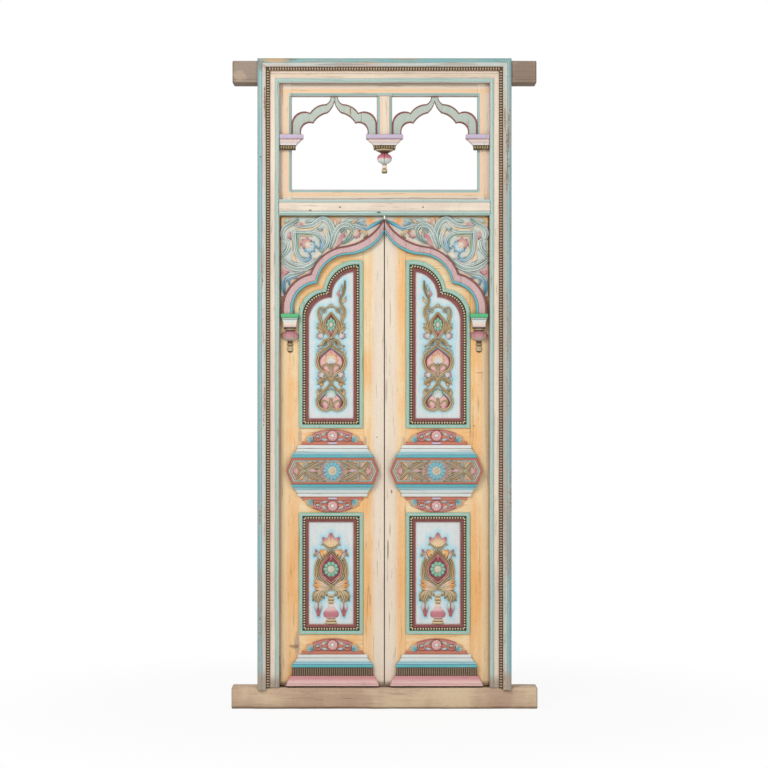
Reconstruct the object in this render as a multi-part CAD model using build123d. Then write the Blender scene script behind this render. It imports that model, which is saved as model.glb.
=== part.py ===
from build123d import *
from math import atan2, cos, hypot, pi, radians, sin, sqrt
import os

# A carved and painted wooden double door, with its frame and an arched transom light.
# X runs across the door, Y from the front (-Y) to the back, Z up. Sizes are in millimetres.
# The origin is on the floor, under the middle of the door and of its depth.
# Every leaf piece is drawn on the right leaf, where X is the distance from the middle,
# and mirrored for the left one.

# Frame timbers
frame_width = 1054.0
frame_depth = 115.0
sill_length = 1270.0
sill_height = 89.0
head_beam_length = 1262.0
head_beam_height = 92.0
head_beam_top = 2691.0
head_beam_rebate = 12.0
jamb_width = 74.0
transom_bar_height = 65.0
transom_bar_bottom = 2050.0
bar_leaf_rebate = 16.0
bar_sash_rebate = 12.0
tenon_length = 40.0
tenon_thickness = 24.0
tenon_shoulder = 8.0

# Trim on the front of the frame
casing_width = 35.0
casing_thickness = 15.0
casing_foot_lap = 8.0
casing_head_rise = 9.0
casing_crest_share = 0.45
casing_shoulder_share = 0.4
casing_quirk = 2.5
bead_strip_width = 17.0
bead_bed = 5.0
bead_height = 6.0
bead_pitch = 11.0
bead_waist = 2.2
stop_width = 38.0
stop_thickness = 30.0
stop_lap = 16.0
stop_reed = 12.0
bar_top_reed = 7.2
stop_edge = 4.0
stop_edge_setback = 3.0

# Leaves
leaf_gap = 5.0
leaf_thickness = 38.0
leaf_front_clearance = 5.0
leaf_side_clearance = 4.0
leaf_floor_gap = 5.0
hanging_stile_width = 93.5
meeting_stile_width = 87.5
bottom_rail_height = 213.5
lock_rail_bottom = 813.0
lock_rail_height = 353.0
panel_thickness = 12.0
panel_recess = 12.0
panel_tongue = 10.0
rail_tenon_length = 45.0
rail_tenon_thickness = 10.0
rail_tenon_inset = 25.0
trim_side_gap = 7.0
trim_top_gap = 7.0

# Panel mouldings: a raised outer band, a row of beads and a sloping inner band
moulding_width = 40.0
moulding_rise = 7.0
moulding_outer_share = 0.36
moulding_bead_share = 0.335
moulding_bead_bed = 9.0
moulding_bead_height = 5.0
moulding_inner_height = 8.0
bead_corner_gap = 1.0
upper_carving_lift = 29.0

# Cusped arch on each leaf, drawn for a leaf face this wide and scaled with the real one
arch_design_width = 427.5
arch_design_inner = 2.5
intrados_ogee_centre = (159.0, 22.0)
extrados_ogee_centre = (202.0, 105.0)
upper_lobe_centre = (147.0, -291.0)
lower_lobe_centre = (276.5, -380.0)
intrados_upper_radius = 135.0
intrados_lower_radius = 105.0
extrados_upper_radius = 172.0
extrados_lower_radius = 150.0
arch_foot_drop = 402.0
arch_band_thickness = 18.0
arch_edge_width = 8.0
arch_edge_rise = 4.0
spandrel_thickness = 8.0
spandrel_tip_angle = 20.0
carving_height = 6.0
carving_ridge = 4.0
stroke_weight = 1.3
ridge_share = 0.45
least_ridge = 1.5

# Arched head of the upper panel: outer line of its moulding, then its inner line
panel_upper_centre = ((118.0, -315.0), (118.0, -328.0))
panel_upper_radius = (137.0, 102.0)
panel_lower_drop = (402.0, 429.0)
panel_lower_radius = (103.0, 96.5)
rail_feather = 3.0

# Corbel under each foot of the arch
corbel_width = 74.0
corbel_depth = 38.0
corbel_slab = 17.0
corbel_cove = 41.0
corbel_neck_inset = 8.0
corbel_lip = 5.0
corbel_neck_in = 2.0
corbel_cove_in = 3.0
drop_radius = 33.0
drop_height = 44.0
drop_collar = 12.0
drop_stem_radius = 11.0
drop_knob_radius = 13.5
drop_tail = 48.0
drop_collar_shares = (0.8, 0.7)
drop_tail_shares = (0.25, 0.3, 0.5, 0.62, 0.9)
drop_waist_share = 0.8
drop_foot_share = 0.7

# Belt across the middle of each leaf, and plinth at its foot
belt_height = 109.0
belt_half_width = 193.0
belt_point = 22.0
belt_thickness = 28.0
belt_face_edge = 9.0
belt_face_sink = 3.0
belt_centre_rise = 174.5
fillet_height = 14.0
cornice_height = 37.0
cornice_band = 16.0
cornice_inner_half = 127.0
cornice_outer_half = 168.0
cornice_inner_depth = 6.0
cornice_outer_depth = 22.0
# How far in, back and along the lip is from the broad band, and the cove's two ends from the narrow fillet
cornice_lip = (8.0, 5.0, 3.0)
cornice_cove_start = (20.0, 7.0, 12.0)
cornice_cove_end = (14.0, 6.0)
plinth_skirt_height = 42.0
plinth_flute_height = 35.0
plinth_foot_half = 192.0
plinth_foot_depth = 32.0
plinth_top_half = 172.0
plinth_top_depth = 24.0
plinth_foot_lip = 8.0
plinth_top_lip = 2.0
flute_bed_in = 4.0
flute_bed_back = 6.0
flute_row_in = 10.0
flute_depth = 4.0
frieze_half_width = 118.0
frieze_height = 46.0
frieze_plate = 5.0
frieze_relief = 5.0
frieze_shoulder_in = 8.0
frieze_shoulder_share = 0.45
frieze_crown_share = 1.12

# Pivots
pivot_pin_radius = 10.0
pivot_pin_embedment = 60.0
pivot_running_gap = 0.08
pivot_end_gap = 0.3
socket_wall = 6.0
socket_depth = 22.0

# Transom light
sash_thickness = 32.0
sash_stile_width = 66.3
sash_top_rail_height = 64.0
sash_bottom_rail_height = 56.0
sash_mullion_half = 32.0
sash_chamfer_width = 12.0
sash_chamfer_depth = 8.0
light_arch_thickness = 18.0
light_arch_setback = 6.0
light_arch_edge_rise = 3.0
light_arch_edge_width = 7.0
light_arch_design_half = 177.35
light_arch_design_rise = 161.0
light_arch_spring = 40.0
light_arch_notch = 138.0
bracket_rise = 227.0
bracket_slab = 20.0
bracket_cove = 25.0
bracket_bead_row = 17.0
bracket_depth = 28.0
bracket_tail = 24.0
bracket_half_width = 77.6
bracket_neck_half = 48.0
side_bracket_reach = 49.0
bracket_joint_gap = 2.0
bracket_lip = (6.0, 4.0, 5.0)
bracket_taper_share = 0.21
bracket_cove_lift = 3.0
bracket_neck_back_share = 0.3
bracket_cove_back_share = 0.85
pendant_bowl_height = 15.0
pendant_ball_radius = 32.0
pendant_ball_height = 46.0
pendant_neck_radius = 9.0
pendant_neck_height = 19.0
pendant_knob_radius = 14.0
pendant_knob_height = 19.0
pendant_bowl_shares = (0.8, 0.62)
pendant_bowl_waist = 0.6
pendant_bowl_end = 12.0
pendant_knob_ease = 3.0
pendant_forward = 2.0

# Places worked out from the sizes
back_y = (frame_depth + casing_thickness) / 2
frame_front_y = back_y - frame_depth
casing_front_y = frame_front_y - casing_thickness
stop_back_y = frame_front_y + stop_thickness
half_frame = frame_width / 2
jamb_inner = half_frame - jamb_width
half_opening = jamb_inner - stop_lap
stop_outer = half_opening + stop_width
strip_outer = half_frame - casing_width
head_stop_bottom = head_beam_top - head_beam_height
head_underside = head_stop_bottom + head_beam_rebate
head_stop_top = head_stop_bottom + stop_width
casing_top = head_beam_top + casing_head_rise
bar_low = transom_bar_bottom + bar_leaf_rebate
bar_high = transom_bar_bottom + transom_bar_height - bar_sash_rebate

leaf_front_y = stop_back_y + leaf_front_clearance
leaf_back_y = leaf_front_y + leaf_thickness
leaf_round = leaf_thickness / 2
leaf_outer = jamb_inner - leaf_side_clearance
leaf_inner = leaf_gap / 2
leaf_bottom = sill_height + leaf_floor_gap
leaf_top = bar_low - leaf_side_clearance
pivot_x = leaf_outer - leaf_round
pivot_y = leaf_front_y + leaf_round
opening_low_x = leaf_inner + meeting_stile_width
opening_high_x = leaf_outer - hanging_stile_width
opening_middle_x = (opening_low_x + opening_high_x) / 2
lock_rail_top = lock_rail_bottom + lock_rail_height
bottom_rail_top = leaf_bottom + bottom_rail_height
trim_outer = half_opening - trim_side_gap
trim_top = transom_bar_bottom - trim_top_gap
arch_scale = (trim_outer - leaf_inner) / arch_design_width
face_middle_x = (leaf_inner + trim_outer) / 2
panel_front_y = leaf_front_y + panel_recess
panel_back_y = panel_front_y + panel_thickness
moulding_front_y = leaf_front_y - moulding_rise

sash_front_y = stop_back_y
sash_back_y = sash_front_y + sash_thickness
sash_outer = jamb_inner
sash_inner = sash_outer - sash_stile_width
light_bottom = bar_high + sash_bottom_rail_height
light_top = head_underside - sash_top_rail_height
bracket_top = light_bottom + bracket_rise
light_arch_middle = (sash_inner + sash_mullion_half) / 2
light_arch_scale_x = (sash_inner - sash_mullion_half) / 2 / light_arch_design_half
light_arch_scale_z = (light_top - bracket_top) / light_arch_design_rise


def block(x0, x1, y0, y1, z0, z1):
    """A square-edged timber between six faces."""
    middle = ((x0 + x1) / 2, (y0 + y1) / 2, (z0 + z1) / 2)
    return Pos(*middle) * Box(abs(x1 - x0), abs(y1 - y0), abs(z1 - z0))


def outline(start, *steps):
    """A closed face. Each step is a point, or a (through, end) pair for an arc."""
    edges, here = [], start
    for step in (*steps, start):
        if isinstance(step[0], tuple):
            edges.append(ThreePointArc(here, step[0], step[1]))
            here = step[1]
        elif hypot(step[0] - here[0], step[1] - here[1]) > 1e-6:
            edges.append(Line(here, step))
            here = step
    return make_face(edges)


def front_slab(face, y_front, y_back):
    """A face drawn in X and Z, as thick as the space between two depths."""
    return extrude(Plane.XZ.offset(-y_back) * face, amount=y_back - y_front)


def side_bar(face, x0, x1):
    """A section drawn in Y and Z, carried along X."""
    return extrude(Plane.YZ.offset(x0) * face, amount=x1 - x0)


def upright_bar(face, z0, z1):
    """A section drawn in X and Y, carried up Z."""
    return extrude(Plane.XY.offset(z0) * face, amount=z1 - z0)


def mirrored(shape):
    """The same shape on the left of the door."""
    return mirror(shape, about=Plane.YZ)


def turned(profile, x, y, top, keep_front_of=None):
    """A turned drop: radius and height pairs, from its top down, about an upright axis."""
    face = make_face(Polyline((0, profile[0][1]), *profile, (0, profile[-1][1]), close=True))
    whole = Pos(x, y, top) * revolve(Plane.XZ * face, Axis.Z)
    if keep_front_of is None:
        return whole
    reach = 4 * max(radius for radius, _ in profile)
    height = profile[0][1] - profile[-1][1]
    front = block(x - reach, x + reach, keep_front_of - reach, keep_front_of, top - 2 * height, top)
    return whole & front


def round_points(radius, height, top, steps=8):
    """Points down the side of a squashed ball."""
    angles = [pi * (k + 0.5) / steps for k in range(steps)]
    return [(radius * sin(a), top - height / 2 * (1 - cos(a))) for a in angles]


def bead_row(length, width, bed, height, pitch):
    """A strip of half-round beads along X, standing on a bed at Y 0 and facing -Y."""
    count = max(1, round(length / pitch))
    step = length / count
    half = (step - bead_waist) / 2
    steps = [(0, -bed)]
    for k in range(count):
        middle = (k + 0.5) * step
        steps += [(middle - half, -bed), ((middle, -bed - height), (middle + half, -bed))]
    steps += [(length, -bed), (length, 0)]
    return extrude(outline((0, 0), *steps), amount=width)


def flat_union(faces):
    """Several flat faces as one."""
    return Sketch() + faces


def crossing(centre_a, radius_a, centre_b, radius_b):
    """The upper crossing of two circles."""
    dx, dz = centre_b[0] - centre_a[0], centre_b[1] - centre_a[1]
    apart = hypot(dx, dz)
    along = (radius_a**2 - radius_b**2 + apart**2) / (2 * apart)
    away = sqrt(max(0.0, radius_a**2 - along**2))
    foot = (centre_a[0] + dx * along / apart, centre_a[1] + dz * along / apart)
    return (foot[0] - dz * away / apart, foot[1] + dx * away / apart)


def between(centre, radius, start, end):
    """The middle of the shorter arc from start to end."""
    turn = (start[0] + end[0] - 2 * centre[0], start[1] + end[1] - 2 * centre[1])
    size = hypot(*turn)
    return (centre[0] + radius * turn[0] / size, centre[1] + radius * turn[1] / size)


def on_leaf(x, drop):
    """A place of the arch's drawing, on the real leaf."""
    return (leaf_inner + (x - arch_design_inner) * arch_scale, trim_top + drop * arch_scale)


def arch_line(ogee_centre, upper_radius, lower_radius, trim_angle=0.0):
    """Steps of the cusped arch from the meeting edge out to its foot."""
    ogee, upper, lower = on_leaf(*ogee_centre), on_leaf(*upper_lobe_centre), on_leaf(*lower_lobe_centre)
    ru, rl = upper_radius * arch_scale, lower_radius * arch_scale
    ro = hypot(ogee[0] - upper[0], ogee[1] - upper[1]) - ru
    start = (leaf_inner, ogee[1] - sqrt(ro**2 - (ogee[0] - leaf_inner) ** 2))
    share = ru / (ro + ru)
    touch = (upper[0] + (ogee[0] - upper[0]) * share, upper[1] + (ogee[1] - upper[1]) * share)
    cusp = crossing(upper, ru, lower, rl)
    turn = radians(trim_angle)
    foot = (lower[0] + rl * cos(turn), lower[1] + rl * sin(turn))
    return start, [
        (between(ogee, ro, start, touch), touch),
        (between(upper, ru, touch, cusp), cusp),
        (between(lower, rl, cusp, foot), foot),
    ]


def reversed_steps(start, steps):
    """The same arcs walked from their far end."""
    ends = [start] + [step[1] for step in steps]
    back = [(steps[k][0], ends[k]) for k in reversed(range(len(steps)))]
    return ends[-1], back


def panel_head(share):
    """Outer and inner sides and arcs of the upper panel's head, at a share of the moulding."""

    def mix(pair):
        """A size at this share of the way from its outer value to its inner one."""
        return pair[0] + (pair[1] - pair[0]) * share

    inset = moulding_width * share
    low_x, high_x = opening_low_x + inset, opening_high_x - inset
    upper = on_leaf(*(mix(values) for values in zip(*panel_upper_centre)))
    ru = mix(panel_upper_radius) * arch_scale
    rl = mix(panel_lower_radius) * arch_scale
    lower = (high_x - rl, trim_top - mix(panel_lower_drop) * arch_scale)
    side = (high_x, lower[1])
    cusp = crossing(upper, ru, lower, rl)
    end = (low_x, upper[1] + sqrt(ru**2 - (upper[0] - low_x) ** 2))
    return side, [(between(lower, rl, side, cusp), cusp), (between(upper, ru, cusp, end), end)]


def ribbon(points, widths):
    """A carved stroke: a smooth line through the points, widening and narrowing."""
    line = Spline(*points) if len(points) > 2 else Line(*points)
    count = 3 * len(points)
    left, right = [], []
    for k in range(count + 1):
        t = k / count
        span = t * (len(widths) - 1)
        i = min(int(span), len(widths) - 2)
        half = (widths[i] + (widths[i + 1] - widths[i]) * (span - i)) / 2
        spot, way = line @ t, line % t
        left.append((spot.X - way.Y * half, spot.Y + way.X * half))
        right.append((spot.X + way.Y * half, spot.Y - way.X * half))
    return make_face(Polyline(*left, *reversed(right), close=True))


def rosette(x, z, radius, petals, core_share=0.45):
    """A flower of round petals, as one face."""
    ring = radius * (1 - pi / (pi + petals))
    size = radius - ring
    faces = [Pos(x, z) * Circle(ring)]
    for k in range(petals):
        a = 2 * pi * k / petals
        faces.append(Pos(x + ring * cos(a), z + ring * sin(a)) * Circle(size))
    return faces, Pos(x, z) * Circle(radius * core_share)


# Carved strokes, as points in millimetres. Each is followed by its widths.
# Upper panel: across from its middle and up from its foot. All but the stem are mirrored.
upper_strokes = [
    ([(0, 122), (-24, 100), (-46, 72), (-57, 42), (-50, 13), (-28, 5), (-3, 18)], (8, 10, 9, 6)),
    ([(0, 52), (-18, 48), (-34, 38), (-33, 26)], (7, 6, 4)),
    ([(-54, 54), (-58, 76), (-50, 98)], (5, 8, 2)),
    ([(-2, 128), (-24, 138), (-42, 132), (-47, 112)], (6, 7, 13, 4)),
    ([(-34, 150), (-48, 156), (-60, 152)], (6, 14, 5)),
    ([(0, 284), (-20, 262), (-42, 244), (-55, 218), (-52, 190), (-32, 160), (0, 134)], (6, 9, 10, 8)),
    ([(0, 152), (-8, 178), (-20, 194), (-34, 188)], (7, 7, 4)),
    ([(-2, 292), (-26, 294), (-44, 286), (-58, 270)], (8, 8, 3)),
    ([(-34, 308), (-48, 316), (-60, 312)], (6, 14, 5)),
    ([(0, 292), (-19, 318), (-28, 344), (-27, 372), (-16, 398), (0, 420)], (7, 8, 8, 6)),
    ([(-14, 304), (-36, 328), (-52, 352), (-60, 376)], (6, 10, 3)),
    ([(-30, 334), (-46, 362), (-51, 396), (-45, 426), (-26, 437), (0, 444)], (7, 8, 8, 7)),
    ([(-4, 440), (-14, 424), (-26, 418)], (6, 6, 4)),
]
upper_stem_strokes = [
    ([(44, 372), (56, 400), (54, 428), (40, 448), (38, 468), (49, 488), (56, 520), (58, 546)],
     (6, 8, 8, 7, 6, 13, 3)),
]
upper_flowers = [(0, 364, 17, 8), (0, 222, 20, 6), (0, 72, 17, 6)]

# Lower panel: across from its middle and up from its foot, mirrored.
lower_strokes = [
    ([(0, 312), (26, 282), (46, 252), (52, 222), (38, 188), (0, 152)], (8, 8, 9, 8)),
    ([(0, 144), (26, 164), (52, 196), (63, 226), (62, 258), (52, 286), (70, 292)], (7, 8, 9, 8, 5)),
    ([(10, 304), (34, 312), (58, 312)], (5, 12, 4)),
    ([(30, 166), (54, 172), (72, 160), (66, 140)], (12, 22, 16, 4)),
    ([(0, 144), (24, 142), (46, 136), (58, 116), (56, 88)], (8, 12, 12, 7)),
    ([(34, 138), (40, 122), (36, 108)], (8, 7, 3)),
    ([(60, 124), (70, 112), (76, 100)], (8, 7, 3)),
    ([(52, 90), (50, 70), (53, 46)], (7, 11, 5)),
    ([(62, 90), (67, 70), (63, 46)], (7, 11, 5)),
    ([(4, 330), (24, 336), (38, 328)], (6, 9, 4)),
    ([(2, 330), (18, 348), (34, 362)], (8, 14, 4)),
]
lower_middle_strokes = [([(0, 308), (0, 344), (0, 380)], (9, 20, 5))]
vase_neck = (134, 12, 28)
vase_core_share = 0.6
lower_flower = (0, 229, 29, 10)
vase_outline = [(15, 122), (15, 110), (11, 106), (11, 86), (26, 62), (31, 45), (26, 30), (16, 25),
                (22, 18), (25, 3)]

# Spandrel: in from its outer edge and down from its top.
spandrel_strokes = [
    ([(60, 58), (98, 60), (138, 66), (166, 84), (176, 110), (160, 138), (132, 160)], (7, 8, 8, 6)),
    ([(58, 62), (60, 100), (66, 134), (82, 160), (108, 170), (134, 158)], (7, 8, 8, 6)),
    ([(66, 34), (94, 40), (122, 38), (144, 24), (164, 18), (188, 34), (201, 60), (203, 112)],
     (6, 10, 10, 6)),
    ([(206, 124), (216, 96), (228, 66), (246, 44), (268, 36), (290, 46), (297, 70), (284, 92)],
     (6, 10, 10, 5)),
    ([(232, 110), (244, 84), (260, 66), (276, 64)], (5, 9, 5)),
    ([(296, 50), (316, 34), (336, 36), (350, 30)], (5, 10, 4)),
    ([(302, 94), (322, 82), (336, 64)], (5, 10, 4)),
    ([(64, 54), (38, 42), (18, 54), (14, 76), (28, 90)], (6, 9, 9, 6)),
    ([(26, 92), (40, 114), (36, 142), (18, 162), (14, 174)], (6, 9, 6)),
    ([(14, 172), (32, 196), (62, 208), (96, 206), (122, 188), (140, 164)], (6, 11, 11, 6)),
    ([(96, 216), (66, 230), (40, 238), (24, 258), (18, 284), (16, 310)], (5, 9, 9, 4)),
    ([(36, 262), (42, 248), (58, 250)], (5, 7, 4)),
    ([(356, 54), (384, 38), (414, 16)], (5, 8, 5)),
    ([(150, 10), (196, 12), (232, 20)], (5, 8, 4)),
    ([(12, 20), (34, 14), (58, 18)], (5, 9, 4)),
]
spandrel_flower = (116, 114, 30, 9)

# Arches of the transom light: out from their middle and up from their feet, as (through, end) arcs.
light_arch_outer = [((155, 85), (101, 91)), ((70, 118), (33, 126)), ((18, 138), (11, 161))]
light_arch_inner = [((11, 112), (29, 92)), ((60, 79), (88, 49)), ((121, 46), (136, 0))]
light_arch_sunk = [
    ((150, 78), (102, 83)), ((70, 110), (34, 118)), ((22, 126), (16, 136)), ((24, 112), (34, 99)),
    ((66, 86), (91, 57)), ((124, 54), (143, 7)),
]

# Belt: out from its middle. Mirrored across, and up and down.
belt_strokes = [
    ([(118, 0), (136, 16), (150, 32)], (7, 9, 4)),
    ([(118, 2), (100, 14), (76, 27), (46, 38)], (7, 9, 9, 4)),
    ([(106, 2), (86, 8), (62, 18), (38, 30)], (6, 8, 8, 4)),
    ([(117, 4), (110, 22), (114, 38)], (6, 8, 4)),
    ([(128, 2), (146, 6), (160, 10)], (5, 9, 4)),
]
belt_flower = (0, 0, 31, 12)

# Frieze: out from its middle and up from its foot, mirrored.
frieze_strokes = [
    ([(18, 22), (32, 30), (50, 22)], (5, 12, 3)),
    ([(50, 32), (62, 38), (74, 30), (72, 16), (58, 12), (50, 18)], (5, 8, 8, 5)),
    ([(84, 10), (90, 22), (92, 34)], (4, 7, 3)),
    ([(86, 10), (97, 20), (104, 27)], (4, 7, 3)),
    ([(88, 9), (102, 13), (113, 17)], (4, 7, 3)),
]
frieze_flower = (0, 22, 15, 10)


def placed_strokes(strokes, x, z, across=1.0, up=1.0):
    """Strokes as faces, about a place on the leaf."""
    faces = []
    for points, widths in strokes:
        line = [(x + across * u, z + up * v) for u, v in points]
        faces.append(ribbon(line, [stroke_weight * w for w in widths]))
    return faces


def ridges(strokes):
    """The ridge along the middle of each stroke."""
    return [(points, tuple(max(least_ridge, ridge_share * w) for w in widths)) for points, widths in strokes]


def relief(low_faces, high_faces, y_seat, inside=None):
    """Strokes standing on a face, with a narrower ridge along each."""
    low, high = flat_union(low_faces), flat_union(high_faces)
    if inside is not None:
        low, high = low & inside, high & inside
    foot = front_slab(low, y_seat - carving_height, y_seat)
    ridge = front_slab(high, y_seat - carving_height - carving_ridge, y_seat - carving_height)
    return foot + ridge


def sill_and_head():
    """The threshold and the head beam, both with horns past the jambs."""
    half = sill_length / 2
    sill = block(-half, half, frame_front_y, back_y, 0, sill_height)
    half = head_beam_length / 2
    head = block(-half, half, frame_front_y, back_y, head_stop_bottom, head_beam_top)
    head -= block(-half_frame, half_frame, frame_front_y, stop_back_y, head_stop_bottom, head_stop_top)
    head -= block(-half_frame, half_frame, stop_back_y, back_y, head_stop_bottom, head_underside)
    return sill, head


def jamb_tenon(z0, z1):
    """The tenon at one end of the right jamb."""
    middle_y = (stop_back_y + back_y) / 2
    return block(
        jamb_inner + tenon_shoulder, half_frame - tenon_shoulder,
        middle_y - tenon_thickness / 2, middle_y + tenon_thickness / 2, z0, z1,
    )


def bar_tenon():
    """The tenon at the right end of the transom bar."""
    middle_y = (stop_back_y + back_y) / 2
    return block(
        jamb_inner, jamb_inner + tenon_length,
        middle_y - tenon_thickness / 2, middle_y + tenon_thickness / 2,
        bar_low + tenon_shoulder, bar_high - tenon_shoulder,
    )


def jamb():
    """The right jamb: a post with a rebate for the planted stop."""
    post = block(jamb_inner, half_frame, stop_back_y, back_y, sill_height, head_underside)
    post += block(stop_outer, half_frame, frame_front_y, stop_back_y, sill_height, head_stop_top)
    post += jamb_tenon(sill_height - tenon_length, sill_height)
    post += jamb_tenon(head_underside, head_underside + tenon_length)
    return post - bar_tenon()


def reed(start, end, y):
    """A half-round reed on a section's front, as an outline step drawn in X and Y."""
    return ((start + end) / 2, y - abs(end - start) / 2), (end, y)


def level_reed(start, end, y):
    """The same reed on a section drawn in Y and Z."""
    (middle, front), _ = reed(start, end, y)
    return (front, middle), (y, end)


def stop_section():
    """Section of the right stop: a flat, a reed and a narrow edge, in X and Y."""
    edge_y = frame_front_y + stop_edge_setback
    flat_end = half_opening + stop_edge + stop_reed
    return outline(
        (stop_outer, stop_back_y), (stop_outer, frame_front_y), (flat_end, frame_front_y),
        (flat_end, edge_y), reed(flat_end, half_opening + stop_edge, edge_y),
        (half_opening, edge_y), (half_opening, stop_back_y),
    )


def stops():
    """The planted stops at the right and over the light, mitred where they meet."""
    right = upright_bar(stop_section(), sill_height, head_stop_top)
    keep = outline(
        (half_opening, sill_height), (stop_outer, sill_height), (stop_outer, head_stop_top),
        (half_opening, head_stop_bottom),
    )
    deep = frame_front_y - stop_reed
    right = right & front_slab(keep, deep, stop_back_y)
    edge_y = frame_front_y + stop_edge_setback
    reed_end = head_stop_bottom + stop_edge
    flat_end = reed_end + stop_reed
    section = outline(
        (stop_back_y, head_stop_top), (frame_front_y, head_stop_top), (frame_front_y, flat_end),
        (edge_y, flat_end), level_reed(flat_end, reed_end, edge_y),
        (edge_y, head_stop_bottom), (stop_back_y, head_stop_bottom),
    )
    head = side_bar(section, -stop_outer, stop_outer)
    keep = outline(
        (-stop_outer, head_stop_top), (stop_outer, head_stop_top), (half_opening, head_stop_bottom),
        (-half_opening, head_stop_bottom),
    )
    return right, head & front_slab(keep, deep, stop_back_y)


def casing_section():
    """Section of the casing, in from its outer edge and out from the frame."""
    crest = casing_width * casing_crest_share
    shoulder = casing_thickness * casing_shoulder_share
    drop = casing_thickness - shoulder
    turn = atan2(drop, crest)
    radius = hypot(crest, drop) / (2 * sin(turn))
    halfway = (crest - radius * sin(turn), casing_thickness - radius * (1 - cos(turn)))
    return outline(
        (0, 0), (0, shoulder), (halfway, (crest, casing_thickness)),
        (crest + casing_quirk, casing_thickness - casing_quirk),
        (casing_width, casing_thickness - 2 * casing_quirk), (casing_width, 0),
    )


def casings():
    """The outer casing at the right and across the head, mitred."""
    foot = sill_height - casing_foot_lap
    low_head = casing_top - casing_width
    upright = Plane((half_frame, frame_front_y, foot), x_dir=(-1, 0, 0), z_dir=(0, 0, 1))
    level = Plane((half_frame, frame_front_y, casing_top), x_dir=(0, 0, -1), z_dir=(-1, 0, 0))
    right = extrude(upright * casing_section(), amount=casing_top - foot)
    head = extrude(level * casing_section(), amount=frame_width)
    keep = outline((strip_outer, foot), (half_frame, foot), (half_frame, casing_top), (strip_outer, low_head))
    keep_head = outline(
        (-half_frame, casing_top), (half_frame, casing_top), (strip_outer, low_head), (-strip_outer, low_head)
    )
    room = casing_front_y - casing_thickness
    return (
        right & front_slab(keep, room, frame_front_y),
        head & front_slab(keep_head, room, frame_front_y),
    )


def bead_strips():
    """The strips of beads inside the casing: one across the head and one down each side."""
    low_head = casing_top - casing_width - bead_strip_width
    tall = low_head - sill_height
    row = bead_row(tall, bead_strip_width, bead_bed, bead_height, bead_pitch)
    right = Pos(strip_outer, frame_front_y, sill_height) * (Rot(0, -90, 0) * row)
    across = bead_row(2 * strip_outer, bead_strip_width, bead_bed, bead_height, bead_pitch)
    head = Pos(-strip_outer, frame_front_y, low_head) * across
    return Compound(children=[right, mirrored(right), head])


def transom_bar():
    """The bar over the leaves, rebated for them and for the sash, with a tenon at each end."""
    edge_y = frame_front_y + stop_edge_setback
    bottom, top = transom_bar_bottom, transom_bar_bottom + transom_bar_height
    low_start, high_end = bottom + stop_edge, top - stop_edge
    low_end, high_start = low_start + stop_reed, high_end - bar_top_reed
    section = outline(
        (stop_back_y, bottom), (edge_y, bottom), (edge_y, low_start), level_reed(low_start, low_end, edge_y),
        (frame_front_y, low_end), (frame_front_y, high_start), (edge_y, high_start),
        level_reed(high_start, high_end, edge_y), (edge_y, top), (stop_back_y, top),
    )
    bar = side_bar(section, -half_opening, half_opening)
    bar += block(-jamb_inner, jamb_inner, stop_back_y, back_y, bar_low, bar_high)
    return bar + bar_tenon() + mirrored(bar_tenon())


def chamfer_wedge(x_edge, into, z0, z1):
    """What is cut from a sash bar's front corner, along Z."""
    section = outline(
        (x_edge, sash_front_y), (x_edge + into * sash_chamfer_width, sash_front_y),
        (x_edge, sash_front_y + sash_chamfer_depth),
    )
    return upright_bar(section, z0, z1)


def chamfer_rail_wedge(z_edge, into, x0, x1):
    """What is cut from a sash rail's front corner, along X."""
    section = outline(
        (sash_front_y, z_edge), (sash_front_y, z_edge + into * sash_chamfer_width),
        (sash_front_y + sash_chamfer_depth, z_edge),
    )
    return side_bar(section, x0, x1)


def sash():
    """The transom light's right stile, top rail, bottom rail and mullion."""
    stile = block(sash_inner, sash_outer, sash_front_y, sash_back_y, bar_high, head_underside)
    stile -= chamfer_wedge(sash_inner, 1, light_bottom, light_top)
    top = block(-sash_inner, sash_inner, sash_front_y, sash_back_y, light_top, head_underside)
    for x0, x1 in ((sash_mullion_half, sash_inner), (-sash_inner, -sash_mullion_half)):
        top -= chamfer_rail_wedge(light_top, 1, x0, x1)
    bottom = block(-sash_inner, sash_inner, sash_front_y, sash_back_y, bar_high, light_bottom)
    bottom -= chamfer_rail_wedge(light_bottom, -1, -sash_inner, sash_inner)
    half = sash_mullion_half
    mullion = block(-half, half, sash_front_y, sash_back_y, bracket_top, light_top)
    mullion -= chamfer_wedge(half, -1, bracket_top, light_top)
    mullion -= chamfer_wedge(-half, 1, bracket_top, light_top)
    return stile, top, bottom, mullion


def light_arch():
    """The right-hand arch of the light: two cusped halves that meet at its point."""

    def at(u, v):
        """A place of the drawing, on the real arch."""
        return (light_arch_middle + u * light_arch_scale_x, bracket_top + v * light_arch_scale_z)

    def arcs(steps):
        """The drawing's arcs, on the real arch."""
        return [(at(*through), at(*end)) for through, end in steps]

    rise, half = light_arch_design_rise, light_arch_design_half
    edge, spring = light_arch_edge_width, light_arch_spring
    body = outline(
        at(half, 0), at(half, spring), *arcs(light_arch_outer), at(0, rise), at(0, light_arch_notch),
        *arcs(light_arch_inner),
    )
    foot_x = light_arch_inner[-1][1][0] + edge
    sunk = outline(
        at(half - edge, edge), at(half - edge, spring), *arcs(light_arch_sunk), at(foot_x, edge),
    )
    y_front = sash_front_y + light_arch_setback
    half_arch = front_slab(body, y_front - light_arch_edge_rise, y_front + light_arch_thickness)
    half_arch -= front_slab(sunk, y_front - light_arch_edge_rise, y_front)
    other = mirror(half_arch, about=Plane.YZ.offset(light_arch_middle))
    return Compound(children=[half_arch, other])


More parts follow.
